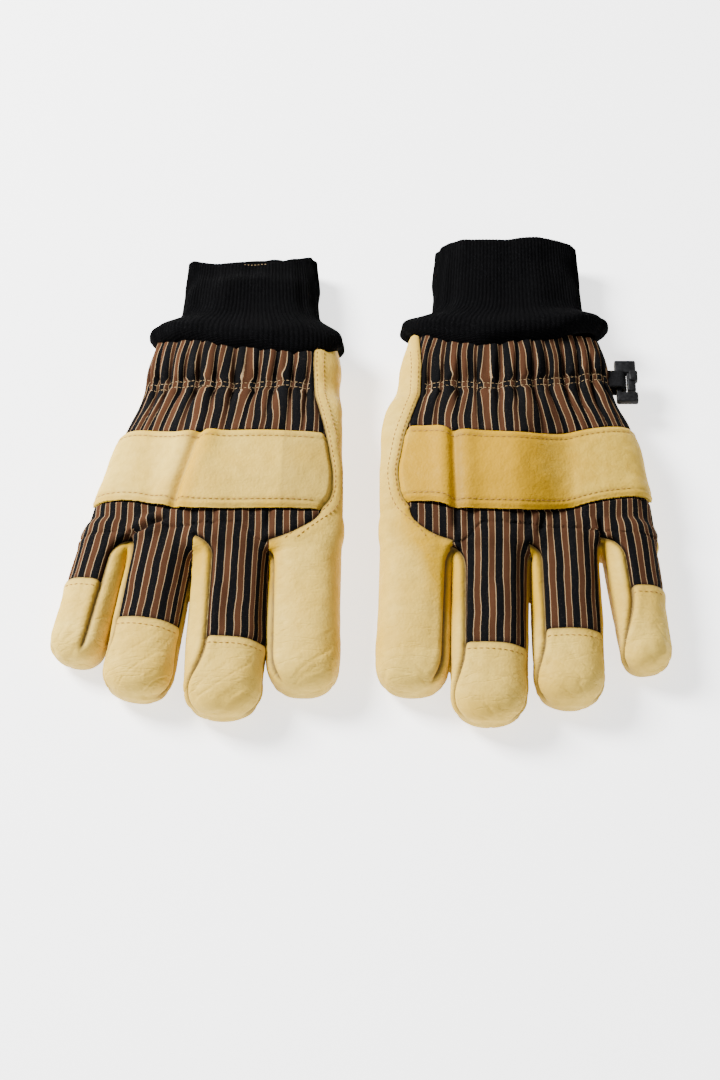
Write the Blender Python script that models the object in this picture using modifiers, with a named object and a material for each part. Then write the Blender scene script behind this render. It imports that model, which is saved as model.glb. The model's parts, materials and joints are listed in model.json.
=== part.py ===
"""A pair of leather-palm welding gloves with cloth backs, knuckle straps and knit cuffs.

The gloves lie side by side, backs up and fingers towards -Y, with their thumbs tucked under the palms.
Each glove is laid out in its own plan: x is 0 at the thumb-side edge and falls towards the little
finger, y rises from the fingertips to the cuff, and z is 0 on the table. The left glove's plan is
mirrored. Every sewn panel is an open patch of a soft tube, thickened inwards by Solidify.
"""

import math

import bmesh
import bpy
from mathutils import Matrix, Vector

MM = 0.001

# Materials' thicknesses and the clearances between sewn pieces.
LEATHER = 1.6 * MM
CLOTH = 1.2 * MM
KNIT = 3.0 * MM
LINING = 1.4 * MM
ELASTIC = 0.8 * MM
WEBBING = 1.2 * MM
SEAM_GAP = 1.0 * MM
LAYER_GAP = 0.5 * MM

# The glove's stations along y: where the hand ends, its elastic, strap and knuckle line.
WRIST_Y = 96 * MM
ELASTIC_Y = 68 * MM
ELASTIC_WIDTH = 9 * MM
STRAP_TOP_Y = 36 * MM
STRAP_BOTTOM_Y = -4 * MM
KNUCKLE_Y = -12 * MM
PALM_SETBACK = 0.9 * MM

# Hand sections, wrist to knuckles: y, then top and bottom height on the thumb side, where the
# tucked thumb lifts the palm, and top and bottom height on the little finger's side.
HAND_HEIGHTS = (
    (96, 30.0, 1.0, 28.0, 0.6),
    (82, 29.5, 1.0, 27.5, -2.0),
    (68, 30.0, 5.0, 26.5, -3.0),
    (56, 35.0, 18.0, 28.0, -3.0),
    (36, 39.5, 18.2, 29.0, -3.0),
    (12, 39.0, 18.2, 28.5, -3.0),
    (-4, 36.0, 17.4, 26.5, -1.0),
    (-12, 33.0, 13.0, 25.0, 1.0),
)
HAND_STATIONS = (96, 89, 82, 75, 68, 62, 56, 49, 42, 36, 28, 20, 12, 4, -4, -8, -12)
HAND_BOXINESS = 3.0
LIFT_FROM_X = -90 * MM
LIFT_TO_X = -60 * MM
LITTLE_SIDE_SEAM = 172
STRAP_LITTLE_EDGE = 166
STRAP_TILT = 11 * MM
STRAP_GAP = 0.9 * MM

# Cuff sections, wrist to mouth: share of the cuff's length, how far its width has drawn in from
# the wrist's to the cuff's own, top, bottom.
CUFF_SECTIONS = (
    (0.0, 0.0, 30.0, 0.6),
    (0.1, -0.1, 31.5, -0.8),
    (0.24, 0.4, 29.0, -0.8),
    (0.42, 0.96, 25.5, -0.8),
    (0.75, 1.0, 24.0, -0.8),
    (1.0, 0.96, 25.0, -0.8),
)
CUFF_STATIONS = (0.0, 0.1, 0.17, 0.24, 0.33, 0.42, 0.58, 0.75, 0.88, 1.0)
CUFF_BOXINESS = 2.6

# Fingers: top heights at the knuckle line, at the middle and at the tip, and the height of the
# underside at the knuckle line.
FINGERS = {
    "index": {"tops": (32.5, 28.5, 24.5), "bottom": 12.0},
    "middle": {"tops": (31.5, 28.5, 25.0), "bottom": 9.5},
    "ring": {"tops": (28.0, 27.0, 24.0), "bottom": 4.5},
    "little": {"tops": (25.0, 23.5, 21.0), "bottom": 1.5},
}
FINGER_BOXINESS = (3.2, 2.5)
UNDER_SEAM_DROP = 24
FINGER_SETTLE = 24 * MM
RESTING_DEPTH = -0.8 * MM
POLE_R = 1.6 * MM

# The thumb lies under the palm in a layer of its own, on a round neck about a vertical axis.
THUMB_X = -19 * MM
THUMB_Y = 43 * MM
THUMB_LEAN = 30
THUMB_HALF = 15 * MM
THUMB_TIP_HALF = 13 * MM
THUMB_LENGTH = 50 * MM
THUMB_TOP = 17.4 * MM
THUMB_BOXINESS = (2.5, 2.5)
THUMB_NECK_R = 9.5 * MM
THUMB_NECK_WALL = 1.6 * MM
THUMB_NECK_TOP = 21.6 * MM
THUMB_HOLE_GAP = 0.7 * MM

# The clip beside the left glove's wrist: a folded webbing tab round the bar of a plastic hook.
CLIP_Y = 81 * MM
CLIP_Z = 14 * MM
CLIP_BAR_X = -114.4 * MM
CLIP_LENGTH = 24 * MM
CLIP_DEPTH = 9.5 * MM
CLIP_THICK = 3.0 * MM
CLIP_BAR = 2.6 * MM
CLIP_RIM = 2.4 * MM
CLIP_MOUTH = 5 * MM
TAB_BORE_R = 2.6 * MM
TAB_WIDTH = 9 * MM
TAB_FROM_X = -111.0 * MM

# Each glove's place, shape and pose. side is 1 for the right hand's glove and -1 for the left
# hand's. widths gives the hand's y, centre and half width, and palm_seam the y and x of the seam
# between the palm leather and the cloth back. Each finger has its base's x, its length from the
# knuckle line and the distance of its cap's seam from there, its half width at the base and at
# the tip, its lean towards the little finger in degrees, and the angles round it of its back's
# thumb-side and little-finger-side seams, 90 being the top.
GLOVES = {
    "right": {
        "side": 1,
        "thumb_edge_x": -8.0,
        "widths": (
            (96, -47.5, 46.0),
            (68, -48.5, 47.0),
            (45, -52.0, 52.0),
            (6, -57.5, 57.5),
            (-12, -60.0, 60.0),
        ),
        "cuff": {"x": -45.0, "half": 32.8, "end_y": 158.0},
        "palm_seam": ((96, -14), (60, -14), (34, -7.5), (14, -4.5), (-3, -8.5), (-9, -19), (-12, -28)),
        "index": {"x": -16.0, "length": 79, "halves": (15.6, 16.2), "lean": 0.4, "seams": (None, 130)},
        "middle": {
            "x": -48.6, "length": 91, "cap": 58, "halves": (16.1, 16.7), "lean": 2.2, "seams": (18, 117),
        },
        "ring": {
            "x": -80.6, "length": 82, "cap": 48, "halves": (15.0, 16.2), "lean": 8.2, "seams": (18, 119),
        },
        "little": {
            "x": -108.2, "length": 64, "cap": 26, "halves": (11.6, 12.0), "lean": 12.0,
            "seams": (58, 168),
        },
    },
    "left": {
        "side": -1,
        "thumb_edge_x": 9.0,
        "widths": (
            (96, -60.0, 49.5),
            (68, -59.5, 51.5),
            (45, -60.5, 60.0),
            (6, -63.0, 63.0),
            (-12, -64.0, 63.5),
        ),
        "cuff": {"x": -62.5, "half": 36.0, "end_y": 164.5},
        "palm_seam": ((96, -20), (60, -20), (34, -11.5), (14, -8), (-3, -12), (-9, -23), (-12, -30)),
        "index": {"x": -15.9, "length": 79, "halves": (15.4, 15.6), "lean": -2.4, "seams": (None, 128)},
        "middle": {
            "x": -50.8, "length": 94, "cap": 61, "halves": (18.4, 16.4), "lean": -1.6, "seams": (56, 148),
        },
        "ring": {
            "x": -85.3, "length": 85, "cap": 53, "halves": (15.0, 16.2), "lean": 0.4, "seams": (56, 150),
        },
        "little": {
            "x": -114.0, "length": 67, "cap": 29, "halves": (13.0, 11.9), "lean": 5.6,
            "seams": (64, 168),
        },
    },
}
# The pair's box is centred on the origin by these.
CENTRE_X = 0.7 * MM
CENTRE_Y = 29.15 * MM


def table_value(rows, key, column):
    """The value in a column at a key, straight between rows sorted either way on their first entry."""
    ordered = sorted(rows)
    if key <= ordered[0][0]:
        return ordered[0][column]
    for low, high in zip(ordered, ordered[1:]):
        if key <= high[0]:
            share = (key - low[0]) / (high[0] - low[0])
            return low[column] + share * (high[column] - low[column])
    return ordered[-1][column]


def smooth(value, start, end):
    share = min(1.0, max(0.0, (value - start) / (end - start)))
    return share * share * (3 - 2 * share)


def mix(low, high, share):
    return low + (high - low) * share


def boxy(degrees, boxiness):
    """The point of a unit superellipse in the direction of an angle."""
    c, s = math.cos(math.radians(degrees)), math.sin(math.radians(degrees))
    reach = (abs(c) ** boxiness + abs(s) ** boxiness) ** (-1 / boxiness)
    return reach * c, reach * s


class Hand:
    """The hand's tube. A section is a y."""

    def __init__(self, glove):
        self.glove = glove

    def across(self, y):
        return [table_value(self.glove["widths"], y / MM, k) * MM for k in (1, 2)]

    def point(self, y, degrees):
        c, s = boxy(degrees, HAND_BOXINESS)
        centre, half = self.across(y)
        x = centre + half * c
        thumb = smooth(x, LIFT_FROM_X, LIFT_TO_X)
        top, bottom = (
            mix(table_value(HAND_HEIGHTS, y / MM, k + 2), table_value(HAND_HEIGHTS, y / MM, k), thumb) * MM
            for k in (1, 2)
        )
        return Vector((x, y, max(0.0, (top + bottom) / 2 + (top - bottom) / 2 * s)))

    def palm_seam(self, y):
        """The angle of the seam between the palm leather and the cloth back."""
        centre, half = self.across(y)
        c = min(1.0, (table_value(self.glove["palm_seam"], y / MM, 1) * MM - centre) / half)
        return math.degrees(math.atan2((1 - c**HAND_BOXINESS) ** (1 / HAND_BOXINESS), c))


class Strap(Hand):
    """The strap's tube: the hand's, with sections that climb towards the little finger's side."""

    def point(self, y, degrees):
        flat = Hand.point(self, y, degrees)
        return Hand.point(self, y + STRAP_TILT * smooth(-flat.x, 0, 120 * MM), degrees)


class Cuff:
    """The knit cuff's tube. A section is a share of its length, from the wrist."""

    def __init__(self, glove):
        self.wrist_x, self.wrist_half = Hand(glove).across(WRIST_Y)
        self.mouth_x, self.mouth_half = glove["cuff"]["x"] * MM, glove["cuff"]["half"] * MM
        self.start = WRIST_Y + LAYER_GAP
        self.length = glove["cuff"]["end_y"] * MM - self.start

    def point(self, share, degrees):
        c, s = boxy(degrees, CUFF_BOXINESS)
        centre = mix(self.wrist_x, self.mouth_x, smooth(share, 0, 0.6))
        half = mix(self.wrist_half, self.mouth_half, table_value(CUFF_SECTIONS, share, 1))
        top, bottom = (table_value(CUFF_SECTIONS, share, k) * MM for k in (2, 3))
        z = max(0.0, (top + bottom) / 2 + (top - bottom) / 2 * s)
        return Vector((centre + half * c, self.start + share * self.length, z))


class Digit:
    """A finger's or the thumb's tube. A section is a distance from its base, up to its tip's pole.

    A finger's base is square to the glove and its further sections square to the finger. A thumb
    has a round heel behind its base.
    """

    def __init__(self, base, lean, length, halves, tops, bottom, boxiness, heel=False):
        self.base, self.length, self.halves = base, length, halves
        self.tops, self.bottom, self.boxiness, self.heel = tops, bottom, boxiness, heel
        self.along = Vector((-math.sin(math.radians(lean)), -math.cos(math.radians(lean)), 0))

    def shrunk(self, distance):
        """How far the section has closed towards a pole, 1 being not at all."""
        over = (distance - (self.length - self.halves[1])) / self.halves[1]
        if self.heel and distance < 0:
            over = -distance / self.halves[0]
        return math.sqrt(max(0.0, 1 - over * over)) if over > 0 else 1.0

    def point(self, distance, degrees):
        share = min(1.0, max(0.0, distance / (self.length - self.halves[1])))
        closing = self.shrunk(distance)
        first, middle, last = self.tops
        top = mix(first, middle, share * 2) if share < 0.5 else mix(middle, last, share * 2 - 1)
        bottom = mix(self.bottom, RESTING_DEPTH, smooth(distance, 0, FINGER_SETTLE))
        c, s = boxy(degrees, mix(self.boxiness[0], self.boxiness[1], smooth(share, 0, 0.3)))
        across = Vector((-self.along.y, self.along.x, 0))
        if not self.heel:
            across = Vector((1, 0, 0)).lerp(across, smooth(distance, 0, FINGER_SETTLE)).normalized()
        spot = self.base + self.along * distance + across * (mix(*self.halves, share) * c * closing)
        z = (top + bottom) / 2 + (top - bottom) / 2 * s * closing
        return Vector((spot.x, spot.y, max(0.0, z)))

    def stations(self, start, end):
        """Sections from start to end: a few along the tube and more over each dome."""
        dome = self.length - self.halves[1]
        pole = self.length - self.halves[1] * (1 - math.sqrt(1 - (POLE_R / self.halves[1]) ** 2))
        marks = [start, min(end, pole)]
        count = math.ceil(dome / (12 * MM))
        marks += [dome * k / count for k in range(count + 1)]
        marks += [dome + self.halves[1] * math.sin(math.radians(turn)) for turn in (22, 42, 59, 73)]
        if self.heel:
            marks += [-self.halves[0] * math.sin(math.radians(turn)) for turn in (22, 42, 59, 73)]
        return sorted(mark for mark in set(marks) if start <= mark <= min(end, pole))


def finger_tube(glove, name):
    finger, fit = FINGERS[name], glove[name]
    return Digit(
        base=Vector((fit["x"] * MM, KNUCKLE_Y - LAYER_GAP, 0)),
        lean=fit["lean"],
        length=fit["length"] * MM,
        halves=[half * MM for half in fit["halves"]],
        tops=[top * MM for top in finger["tops"]],
        bottom=finger["bottom"] * MM,
        boxiness=FINGER_BOXINESS,
    )


def thumb_tube():
    return Digit(
        base=Vector((THUMB_X, THUMB_Y, 0)),
        lean=THUMB_LEAN,
        length=THUMB_LENGTH,
        halves=(THUMB_HALF, THUMB_TIP_HALF),
        tops=(THUMB_TOP, THUMB_TOP, THUMB_TOP),
        bottom=RESTING_DEPTH,
        boxiness=THUMB_BOXINESS,
        heel=True,
    )


def material(name, color, roughness):
    made = bpy.data.materials.get(name) or bpy.data.materials.new(name)
    made.use_nodes = True
    shader = made.node_tree.nodes["Principled BSDF"]
    shader.inputs["Base Color"].default_value = (*color, 1)
    shader.inputs["Roughness"].default_value = roughness
    return made


FINISHES = {
    "cream_leather": ((0.78, 0.62, 0.33), 0.6),
    "strap_leather": ((0.74, 0.52, 0.17), 0.62),
    "striped_cloth": ((0.07, 0.045, 0.03), 0.9),
    "black_knit": ((0.01, 0.01, 0.011), 0.95),
    "fleece_lining": ((0.72, 0.68, 0.58), 0.95),
    "elastic_webbing": ((0.6, 0.58, 0.52), 0.85),
    "black_webbing": ((0.015, 0.015, 0.016), 0.9),
    "black_plastic": ((0.012, 0.012, 0.012), 0.35),
}


class Place:
    """Where an object goes: its glove, the empty it hangs from and its collections."""

    def __init__(self, glove, parent, parts, cutters):
        self.glove, self.parent, self.parts, self.cutters = glove, parent, parts, cutters
        self.origin = parent.matrix_world.translation.copy() if parent else Vector()

    def local(self, point):
        return world(self.glove, point) - self.origin

    def add(self, name, mesh, finish=None, cutter=False):
        made = bpy.data.objects.new(name, mesh)
        if finish:
            mesh.materials.append(material(finish, *FINISHES[finish]))
        made.parent = self.parent
        (self.cutters if cutter else self.parts).objects.link(made)
        if cutter:
            made.display_type = "WIRE"
            made.hide_render = True
        return made


def world(glove, point):
    """A point of a glove's plan in the pair's own frame."""
    x = glove["side"] * point.x + glove["thumb_edge_x"] * MM - CENTRE_X
    return Vector((x, point.y - CENTRE_Y, point.z))


def empty(name, glove, point, collection):
    made = bpy.data.objects.new(name, None)
    made.empty_display_size = 10 * MM
    made.location = world(glove, point)
    collection.objects.link(made)
    bpy.context.view_layer.update()
    return made


def nudge(tube, section, degrees, distance):
    """An angle moved round a section by a distance over the tube's surface."""
    rate = (tube.point(section, degrees + 2) - tube.point(section, degrees - 2)).length / 4
    return degrees + distance / max(rate, 0.01 * MM)


def columns_between(spans, turn, closed):
    """For each span, angles from its low to its high end. The spans share a grid where they can."""
    if closed:
        return [[low + turn * k for k in range(360 // turn)] for low, high in spans]
    first = math.ceil((max(low for low, high in spans) + turn / 3) / turn)
    last = math.floor((min(high for low, high in spans) - turn / 3) / turn)
    if last < first:
        count = max(2, math.ceil(max(high - low for low, high in spans) / turn))
        return [[mix(low, high, k / count) for k in range(count + 1)] for low, high in spans]
    shared = [turn * k for k in range(first, last + 1)]
    before = math.ceil(max(shared[0] - low for low, high in spans) / turn)
    after = math.ceil(max(high - shared[-1] for low, high in spans) / turn)
    rows = []
    for low, high in spans:
        lead = [mix(low, shared[0], k / before) for k in range(before)]
        rows.append(lead + shared + [mix(shared[-1], high, (k + 1) / after) for k in range(after)])
    return rows


def patch(name, tube, sections, span, finish, thickness, place, turn=20, depth=0.0, closed=False):
    """A panel: a patch of a tube between two seams, given as angles at each section, thickened.

    Its outer face lies at a depth below the tube's surface.
    """
    spread = columns_between([span(section) for section in sections], turn, closed)
    columns = len(spread[0]) - (0 if closed else 1)
    form = bmesh.new()
    rows = []
    for section, angles in zip(sections, spread):
        rows.append([form.verts.new(place.local(tube.point(section, angle))) for angle in angles])
    for above, below in zip(rows, rows[1:]):
        for k in range(columns):
            after = (k + 1) % len(above)
            form.faces.new((above[k], above[after], below[after], below[k]))
    # The face seen from outside the tube is the front one.
    form.normal_update()
    middle = mix(spread[0][0], spread[0][1], 0.5)
    near = place.local(tube.point(sections[0], middle))
    far = place.local(tube.point(sections[0], middle + 180))
    form.faces.ensure_lookup_table()
    if form.faces[0].normal.dot(near - far) < 0:
        bmesh.ops.reverse_faces(form, faces=form.faces)
    mesh = bpy.data.meshes.new(name)
    form.to_mesh(mesh)
    form.free()
    made = place.add(name, mesh, finish)
    solid = made.modifiers.new("thickness", "SOLIDIFY")
    solid.thickness = thickness
    solid.offset = -1 - 2 * depth / thickness
    return made


def rod(name, place, point, radius, bottom, top):
    """An upright round cutter."""
    form = bmesh.new()
    bmesh.ops.create_cone(
        form, segments=32, cap_ends=True, radius1=radius, radius2=radius, depth=top - bottom,
        matrix=Matrix.Translation(place.local(Vector((point.x, point.y, (top + bottom) / 2)))),
    )
    mesh = bpy.data.meshes.new(name)
    form.to_mesh(mesh)
    form.free()
    return place.add(name, mesh, cutter=True)


def cut(target, cutter, operation="DIFFERENCE"):
    made = target.modifiers.new(cutter.name, "BOOLEAN")
    made.solver = "EXACT"
    made.operation = operation
    made.object = cutter
    return made


def stations(start, end):
    """The hand's stations from start down to end, both included."""
    inner = [y * MM for y in HAND_STATIONS if end + 0.5 * MM < y * MM < start - 0.5 * MM]
    return [start] + sorted(inner, reverse=True) + [end]


def build_hand(hand_name, glove, place):
    hand, cuff = Hand(glove), Cuff(glove)
    half_gap = SEAM_GAP / 2

    def above_seam(y):
        return nudge(hand, y, hand.palm_seam(y), half_gap)

    def palm_span(y):
        low = nudge(hand, y, LITTLE_SIDE_SEAM - 360, half_gap)
        return low, nudge(hand, y, hand.palm_seam(y), -half_gap)

    def back_span(y):
        return above_seam(y), nudge(hand, y, LITTLE_SIDE_SEAM, -half_gap)

    def strap_span(y):
        return nudge(hand, y, above_seam(y), 0.8 * MM), STRAP_LITTLE_EDGE

    def lining_span(y):
        return 184 - 360, -4

    def elastic_span(y):
        return nudge(hand, y, above_seam(y), 4 * MM), 164

    full = stations(WRIST_Y, KNUCKLE_Y)
    neck = Vector((THUMB_X, THUMB_Y, 0))
    hole_r = THUMB_NECK_R + THUMB_HOLE_GAP
    hole = rod(hand_name + "_thumb_hole", place, neck, hole_r, 8 * MM, 30 * MM)
    palm = patch(
        hand_name + "_palm_leather", hand, stations(WRIST_Y, KNUCKLE_Y + PALM_SETBACK), palm_span,
        "cream_leather", LEATHER, place, 12,
    )
    cut(palm, hole)
    lining = patch(
        hand_name + "_palm_lining", hand, stations(WRIST_Y - 3 * MM, KNUCKLE_Y + 3 * MM), lining_span,
        "fleece_lining", LINING, place, 12, depth=LEATHER + LAYER_GAP,
    )
    cut(lining, hole)
    patch(hand_name + "_back_cloth", hand, full, back_span, "striped_cloth", CLOTH, place, 15)
    patch(
        hand_name + "_knuckle_strap", Strap(glove), stations(STRAP_TOP_Y, STRAP_BOTTOM_Y), strap_span,
        "strap_leather" if hand_name == "left" else "cream_leather", LEATHER, place, 15,
        depth=-(LEATHER + STRAP_GAP),
    )
    patch(
        hand_name + "_wrist_elastic", hand,
        stations(ELASTIC_Y + ELASTIC_WIDTH / 2, ELASTIC_Y - ELASTIC_WIDTH / 2), elastic_span,
        "elastic_webbing", ELASTIC, place, 15, depth=CLOTH + LAYER_GAP,
    )
    patch(
        hand_name + "_knit_cuff", cuff, CUFF_STATIONS, lambda share: (0, 360),
        "black_knit", KNIT, place, 15, closed=True,
    )


def build_finger(hand_name, glove, name, place):
    tube = finger_tube(glove, name)
    thumb_seam, little_seam = glove[name]["seams"]
    half_gap = SEAM_GAP / 2
    # Seams close in on the finger's sides over its last stretch, so the forks taper to nothing.
    taper_from = tube.length - 2.4 * tube.halves[1]
    taper_to = tube.length - 0.75 * tube.halves[1]
    fork_end = tube.length - 1.05 * tube.halves[1]

    def closed_in(angle, side_angle, distance):
        return mix(angle, side_angle, smooth(distance, taper_from, taper_to))

    def seam(angle, side_angle, distance, shift):
        return nudge(tube, distance, closed_in(angle, side_angle, distance), shift)

    def little_top(distance, shift):
        return seam(little_seam, 180, distance, shift)

    def little_under(distance, shift):
        if name == "little":
            return little_top(distance, shift)
        return seam(180 + UNDER_SEAM_DROP, 180, distance, shift)

    def thumb_top(distance, shift):
        return seam(thumb_seam, 0, distance, shift)

    def thumb_under(distance, shift):
        return seam(-UNDER_SEAM_DROP, 0, distance, shift)

    prefix = hand_name + "_" + name
    whole = tube.stations(0, tube.length)
    fork = tube.stations(0, fork_end)
    if name != "little":
        patch(
            prefix + ("_fork" if name == "index" else "_little_side_fork"), tube, fork,
            lambda d: (little_top(d, half_gap), little_under(d, -half_gap)),
            "cream_leather", LEATHER, place,
        )
    if name == "index":
        patch(
            prefix + "_leather", tube, whole,
            lambda d: (little_under(d, half_gap) - 360, little_top(d, -half_gap)),
            "cream_leather", LEATHER, place,
        )
        return
    patch(
        prefix + ("_fork" if name == "little" else "_thumb_side_fork"), tube, fork,
        lambda d: (thumb_under(d, half_gap), thumb_top(d, -half_gap)),
        "cream_leather", LEATHER, place,
    )
    patch(
        prefix + "_front", tube, whole,
        lambda d: (little_under(d, half_gap), thumb_under(d, -half_gap) + 360),
        "cream_leather", LEATHER, place,
    )
    cap = glove[name]["cap"] * MM
    patch(
        prefix + "_back", tube, tube.stations(0, cap - half_gap),
        lambda d: (thumb_top(d, half_gap), little_top(d, -half_gap)),
        "striped_cloth", CLOTH, place,
    )
    patch(
        prefix + "_tip", tube, tube.stations(cap + half_gap, tube.length),
        lambda d: (thumb_top(d, half_gap), little_top(d, -half_gap)),
        "cream_leather", LEATHER, place,
    )


def build_thumb(hand_name, place):
    tube = thumb_tube()
    half_gap = SEAM_GAP / 2
    start = -tube.halves[0] * math.sqrt(1 - (POLE_R / tube.halves[0]) ** 2)
    whole = tube.stations(start, tube.length)
    patch(
        hand_name + "_thumb_front", tube, whole,
        lambda d: (nudge(tube, d, 180, half_gap), nudge(tube, d, 360, -half_gap)),
        "cream_leather", LEATHER, place,
    )
    back = patch(
        hand_name + "_thumb_back", tube, whole,
        lambda d: (nudge(tube, d, 0, half_gap), nudge(tube, d, 180, -half_gap)),
        "cream_leather", LEATHER, place,
    )
    neck = Vector((THUMB_X, THUMB_Y, 0))
    low = THUMB_TOP - 2.4 * MM
    outer = rod(hand_name + "_thumb_neck", place, neck, THUMB_NECK_R, low, THUMB_NECK_TOP)
    bore = rod(
        hand_name + "_thumb_bore", place, neck, THUMB_NECK_R - THUMB_NECK_WALL,
        low - 2 * MM, THUMB_NECK_TOP + 2 * MM,
    )
    cut(back, outer, "UNION")
    cut(back, bore)


def block(name, place, low, high, finish=None, cutter=False):
    """A box between two corners of the glove's plan."""
    form = bmesh.new()
    corner, other = place.local(low), place.local(high)
    size = other - corner
    move = Matrix.Translation((corner + other) / 2)
    scale = Matrix.Diagonal((abs(size.x), abs(size.y), abs(size.z), 1))
    bmesh.ops.create_cube(form, size=1, matrix=move @ scale)
    mesh = bpy.data.meshes.new(name)
    form.to_mesh(mesh)
    form.free()
    return place.add(name, mesh, finish, cutter)


def build_clip(hand_name, place, hook_place):
    # The webbing runs out from the glove, round the hook's bar and back.
    form = bmesh.new()
    rows = []
    for y in (CLIP_Y - TAB_WIDTH / 2, CLIP_Y + TAB_WIDTH / 2):
        path = [Vector((TAB_FROM_X, y, CLIP_Z + TAB_BORE_R))]
        for turn in range(0, 181, 20):
            along, up = -math.sin(math.radians(turn)), math.cos(math.radians(turn))
            path.append(Vector((CLIP_BAR_X + TAB_BORE_R * along, y, CLIP_Z + TAB_BORE_R * up)))
        path.append(Vector((TAB_FROM_X, y, CLIP_Z - TAB_BORE_R)))
        rows.append([form.verts.new(place.local(point)) for point in path])
    for k in range(len(rows[0]) - 1):
        form.faces.new((rows[0][k], rows[0][k + 1], rows[1][k + 1], rows[1][k]))
    form.normal_update()
    form.faces.ensure_lookup_table()
    if form.faces[0].normal.z < 0:
        bmesh.ops.reverse_faces(form, faces=form.faces)
    mesh = bpy.data.meshes.new(hand_name + "_clip_tab")
    form.to_mesh(mesh)
    form.free()
    tab = place.add(hand_name + "_clip_tab", mesh, "black_webbing")
    solid = tab.modifiers.new("thickness", "SOLIDIFY")
    solid.thickness = WEBBING
    solid.offset = 1

    inner = CLIP_BAR_X + CLIP_BAR / 2
    outer = inner - CLIP_DEPTH
    front, back = CLIP_Y - CLIP_LENGTH / 2, CLIP_Y + CLIP_LENGTH / 2
    low, high = CLIP_Z - CLIP_THICK / 2, CLIP_Z + CLIP_THICK / 2
    hook = block(
        hand_name + "_clip_hook", hook_place, Vector((outer, front, low)), Vector((inner, back, high)),
        "black_plastic",
    )
    slot = block(
        hand_name + "_clip_slot", hook_place,
        Vector((outer + CLIP_RIM, front + CLIP_RIM, low - 1 * MM)),
        Vector((inner - CLIP_BAR, back - CLIP_RIM, high + 1 * MM)), cutter=True,
    )
    mouth = block(
        hand_name + "_clip_mouth", hook_place,
        Vector((outer - 1 * MM, front + CLIP_RIM, low - 1 * MM)),
        Vector((outer + CLIP_RIM + 1 * MM, front + CLIP_RIM + CLIP_MOUTH, high + 1 * MM)), cutter=True,
    )
    cut(hook, slot)
    cut(hook, mouth)
    soften = hook.modifiers.new("edges", "BEVEL")
    soften.width = 0.45 * MM
    soften.segments = 2
    soften.limit_method = "ANGLE"


def clear_scene():
    for old in list(bpy.data.objects):
        bpy.data.objects.remove(old, do_unlink=True)


def build():
    clear_scene()
    parts = bpy.data.collections.new("welding_gloves")
    cutters = bpy.data.collections.new("cutters")
    bpy.context.scene.collection.children.link(parts)
    bpy.context.scene.collection.children.link(cutters)
    for hand_name, glove in GLOVES.items():
        body = Place(glove, empty(hand_name + "_glove", glove, Vector(), parts), parts, cutters)
        build_hand(hand_name, glove, body)
        for name, finger in FINGERS.items():
            x = glove[name]["x"] * MM
            base = Vector((x, KNUCKLE_Y - LAYER_GAP / 2, finger["bottom"] * MM))
            hinge = empty(hand_name + "_" + name + "_hinge", glove, base, parts)
            build_finger(hand_name, glove, name, Place(glove, hinge, parts, cutters))
        pivot = empty(hand_name + "_thumb_pivot", glove, Vector((THUMB_X, THUMB_Y, 0)), parts)
        build_thumb(hand_name, Place(glove, pivot, parts, cutters))
        if hand_name == "left":
            bar = empty("left_clip_bar", glove, Vector((CLIP_BAR_X, CLIP_Y, CLIP_Z)), parts)
            build_clip(hand_name, body, Place(glove, bar, parts, cutters))


build()
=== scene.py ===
"""The looks of a pair of welding gloves: sewn leather, striped canvas and ribbed knit over the CAD frame.

Each glove is laid out in its own plan, in millimetres: x is 0 at the thumb-side edge and falls
towards the little finger, y is 0 at the knuckle line and rises towards the cuff, and z is height
above the table. One smooth skin is grown round the hand and its four fingers, cut along the real
seams, and each panel is then puffed, gathered or wrinkled as its material would be.
"""

import json
import math

import bmesh
import bpy
import numpy as np
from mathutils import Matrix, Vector
from mathutils.bvhtree import BVHTree
from mathutils.kdtree import KDTree

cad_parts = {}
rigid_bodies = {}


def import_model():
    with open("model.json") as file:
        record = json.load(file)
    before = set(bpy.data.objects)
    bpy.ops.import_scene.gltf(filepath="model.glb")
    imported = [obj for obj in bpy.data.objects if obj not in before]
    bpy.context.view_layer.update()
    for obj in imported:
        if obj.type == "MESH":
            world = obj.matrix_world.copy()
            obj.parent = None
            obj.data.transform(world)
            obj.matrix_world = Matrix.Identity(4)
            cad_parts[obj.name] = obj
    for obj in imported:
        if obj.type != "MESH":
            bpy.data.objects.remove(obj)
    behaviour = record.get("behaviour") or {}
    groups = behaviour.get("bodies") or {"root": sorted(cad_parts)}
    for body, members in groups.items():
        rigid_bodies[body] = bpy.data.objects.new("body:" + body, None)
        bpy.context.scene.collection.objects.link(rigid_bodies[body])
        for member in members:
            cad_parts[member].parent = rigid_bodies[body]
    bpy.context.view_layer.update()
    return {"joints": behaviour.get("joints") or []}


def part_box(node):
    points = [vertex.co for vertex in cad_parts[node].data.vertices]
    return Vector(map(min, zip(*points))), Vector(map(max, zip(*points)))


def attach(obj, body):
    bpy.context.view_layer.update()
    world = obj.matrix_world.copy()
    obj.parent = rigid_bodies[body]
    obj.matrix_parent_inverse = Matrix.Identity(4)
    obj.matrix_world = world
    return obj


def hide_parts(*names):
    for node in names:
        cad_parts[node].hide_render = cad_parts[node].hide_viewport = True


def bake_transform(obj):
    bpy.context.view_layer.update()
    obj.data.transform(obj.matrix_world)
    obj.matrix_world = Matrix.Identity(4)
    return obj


for leftover in list(bpy.data.objects):
    bpy.data.objects.remove(leftover)
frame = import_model()
JOINTS = {joint["name"]: joint for joint in frame["joints"]}

FINGERS = ("index", "middle", "ring", "little")
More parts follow.
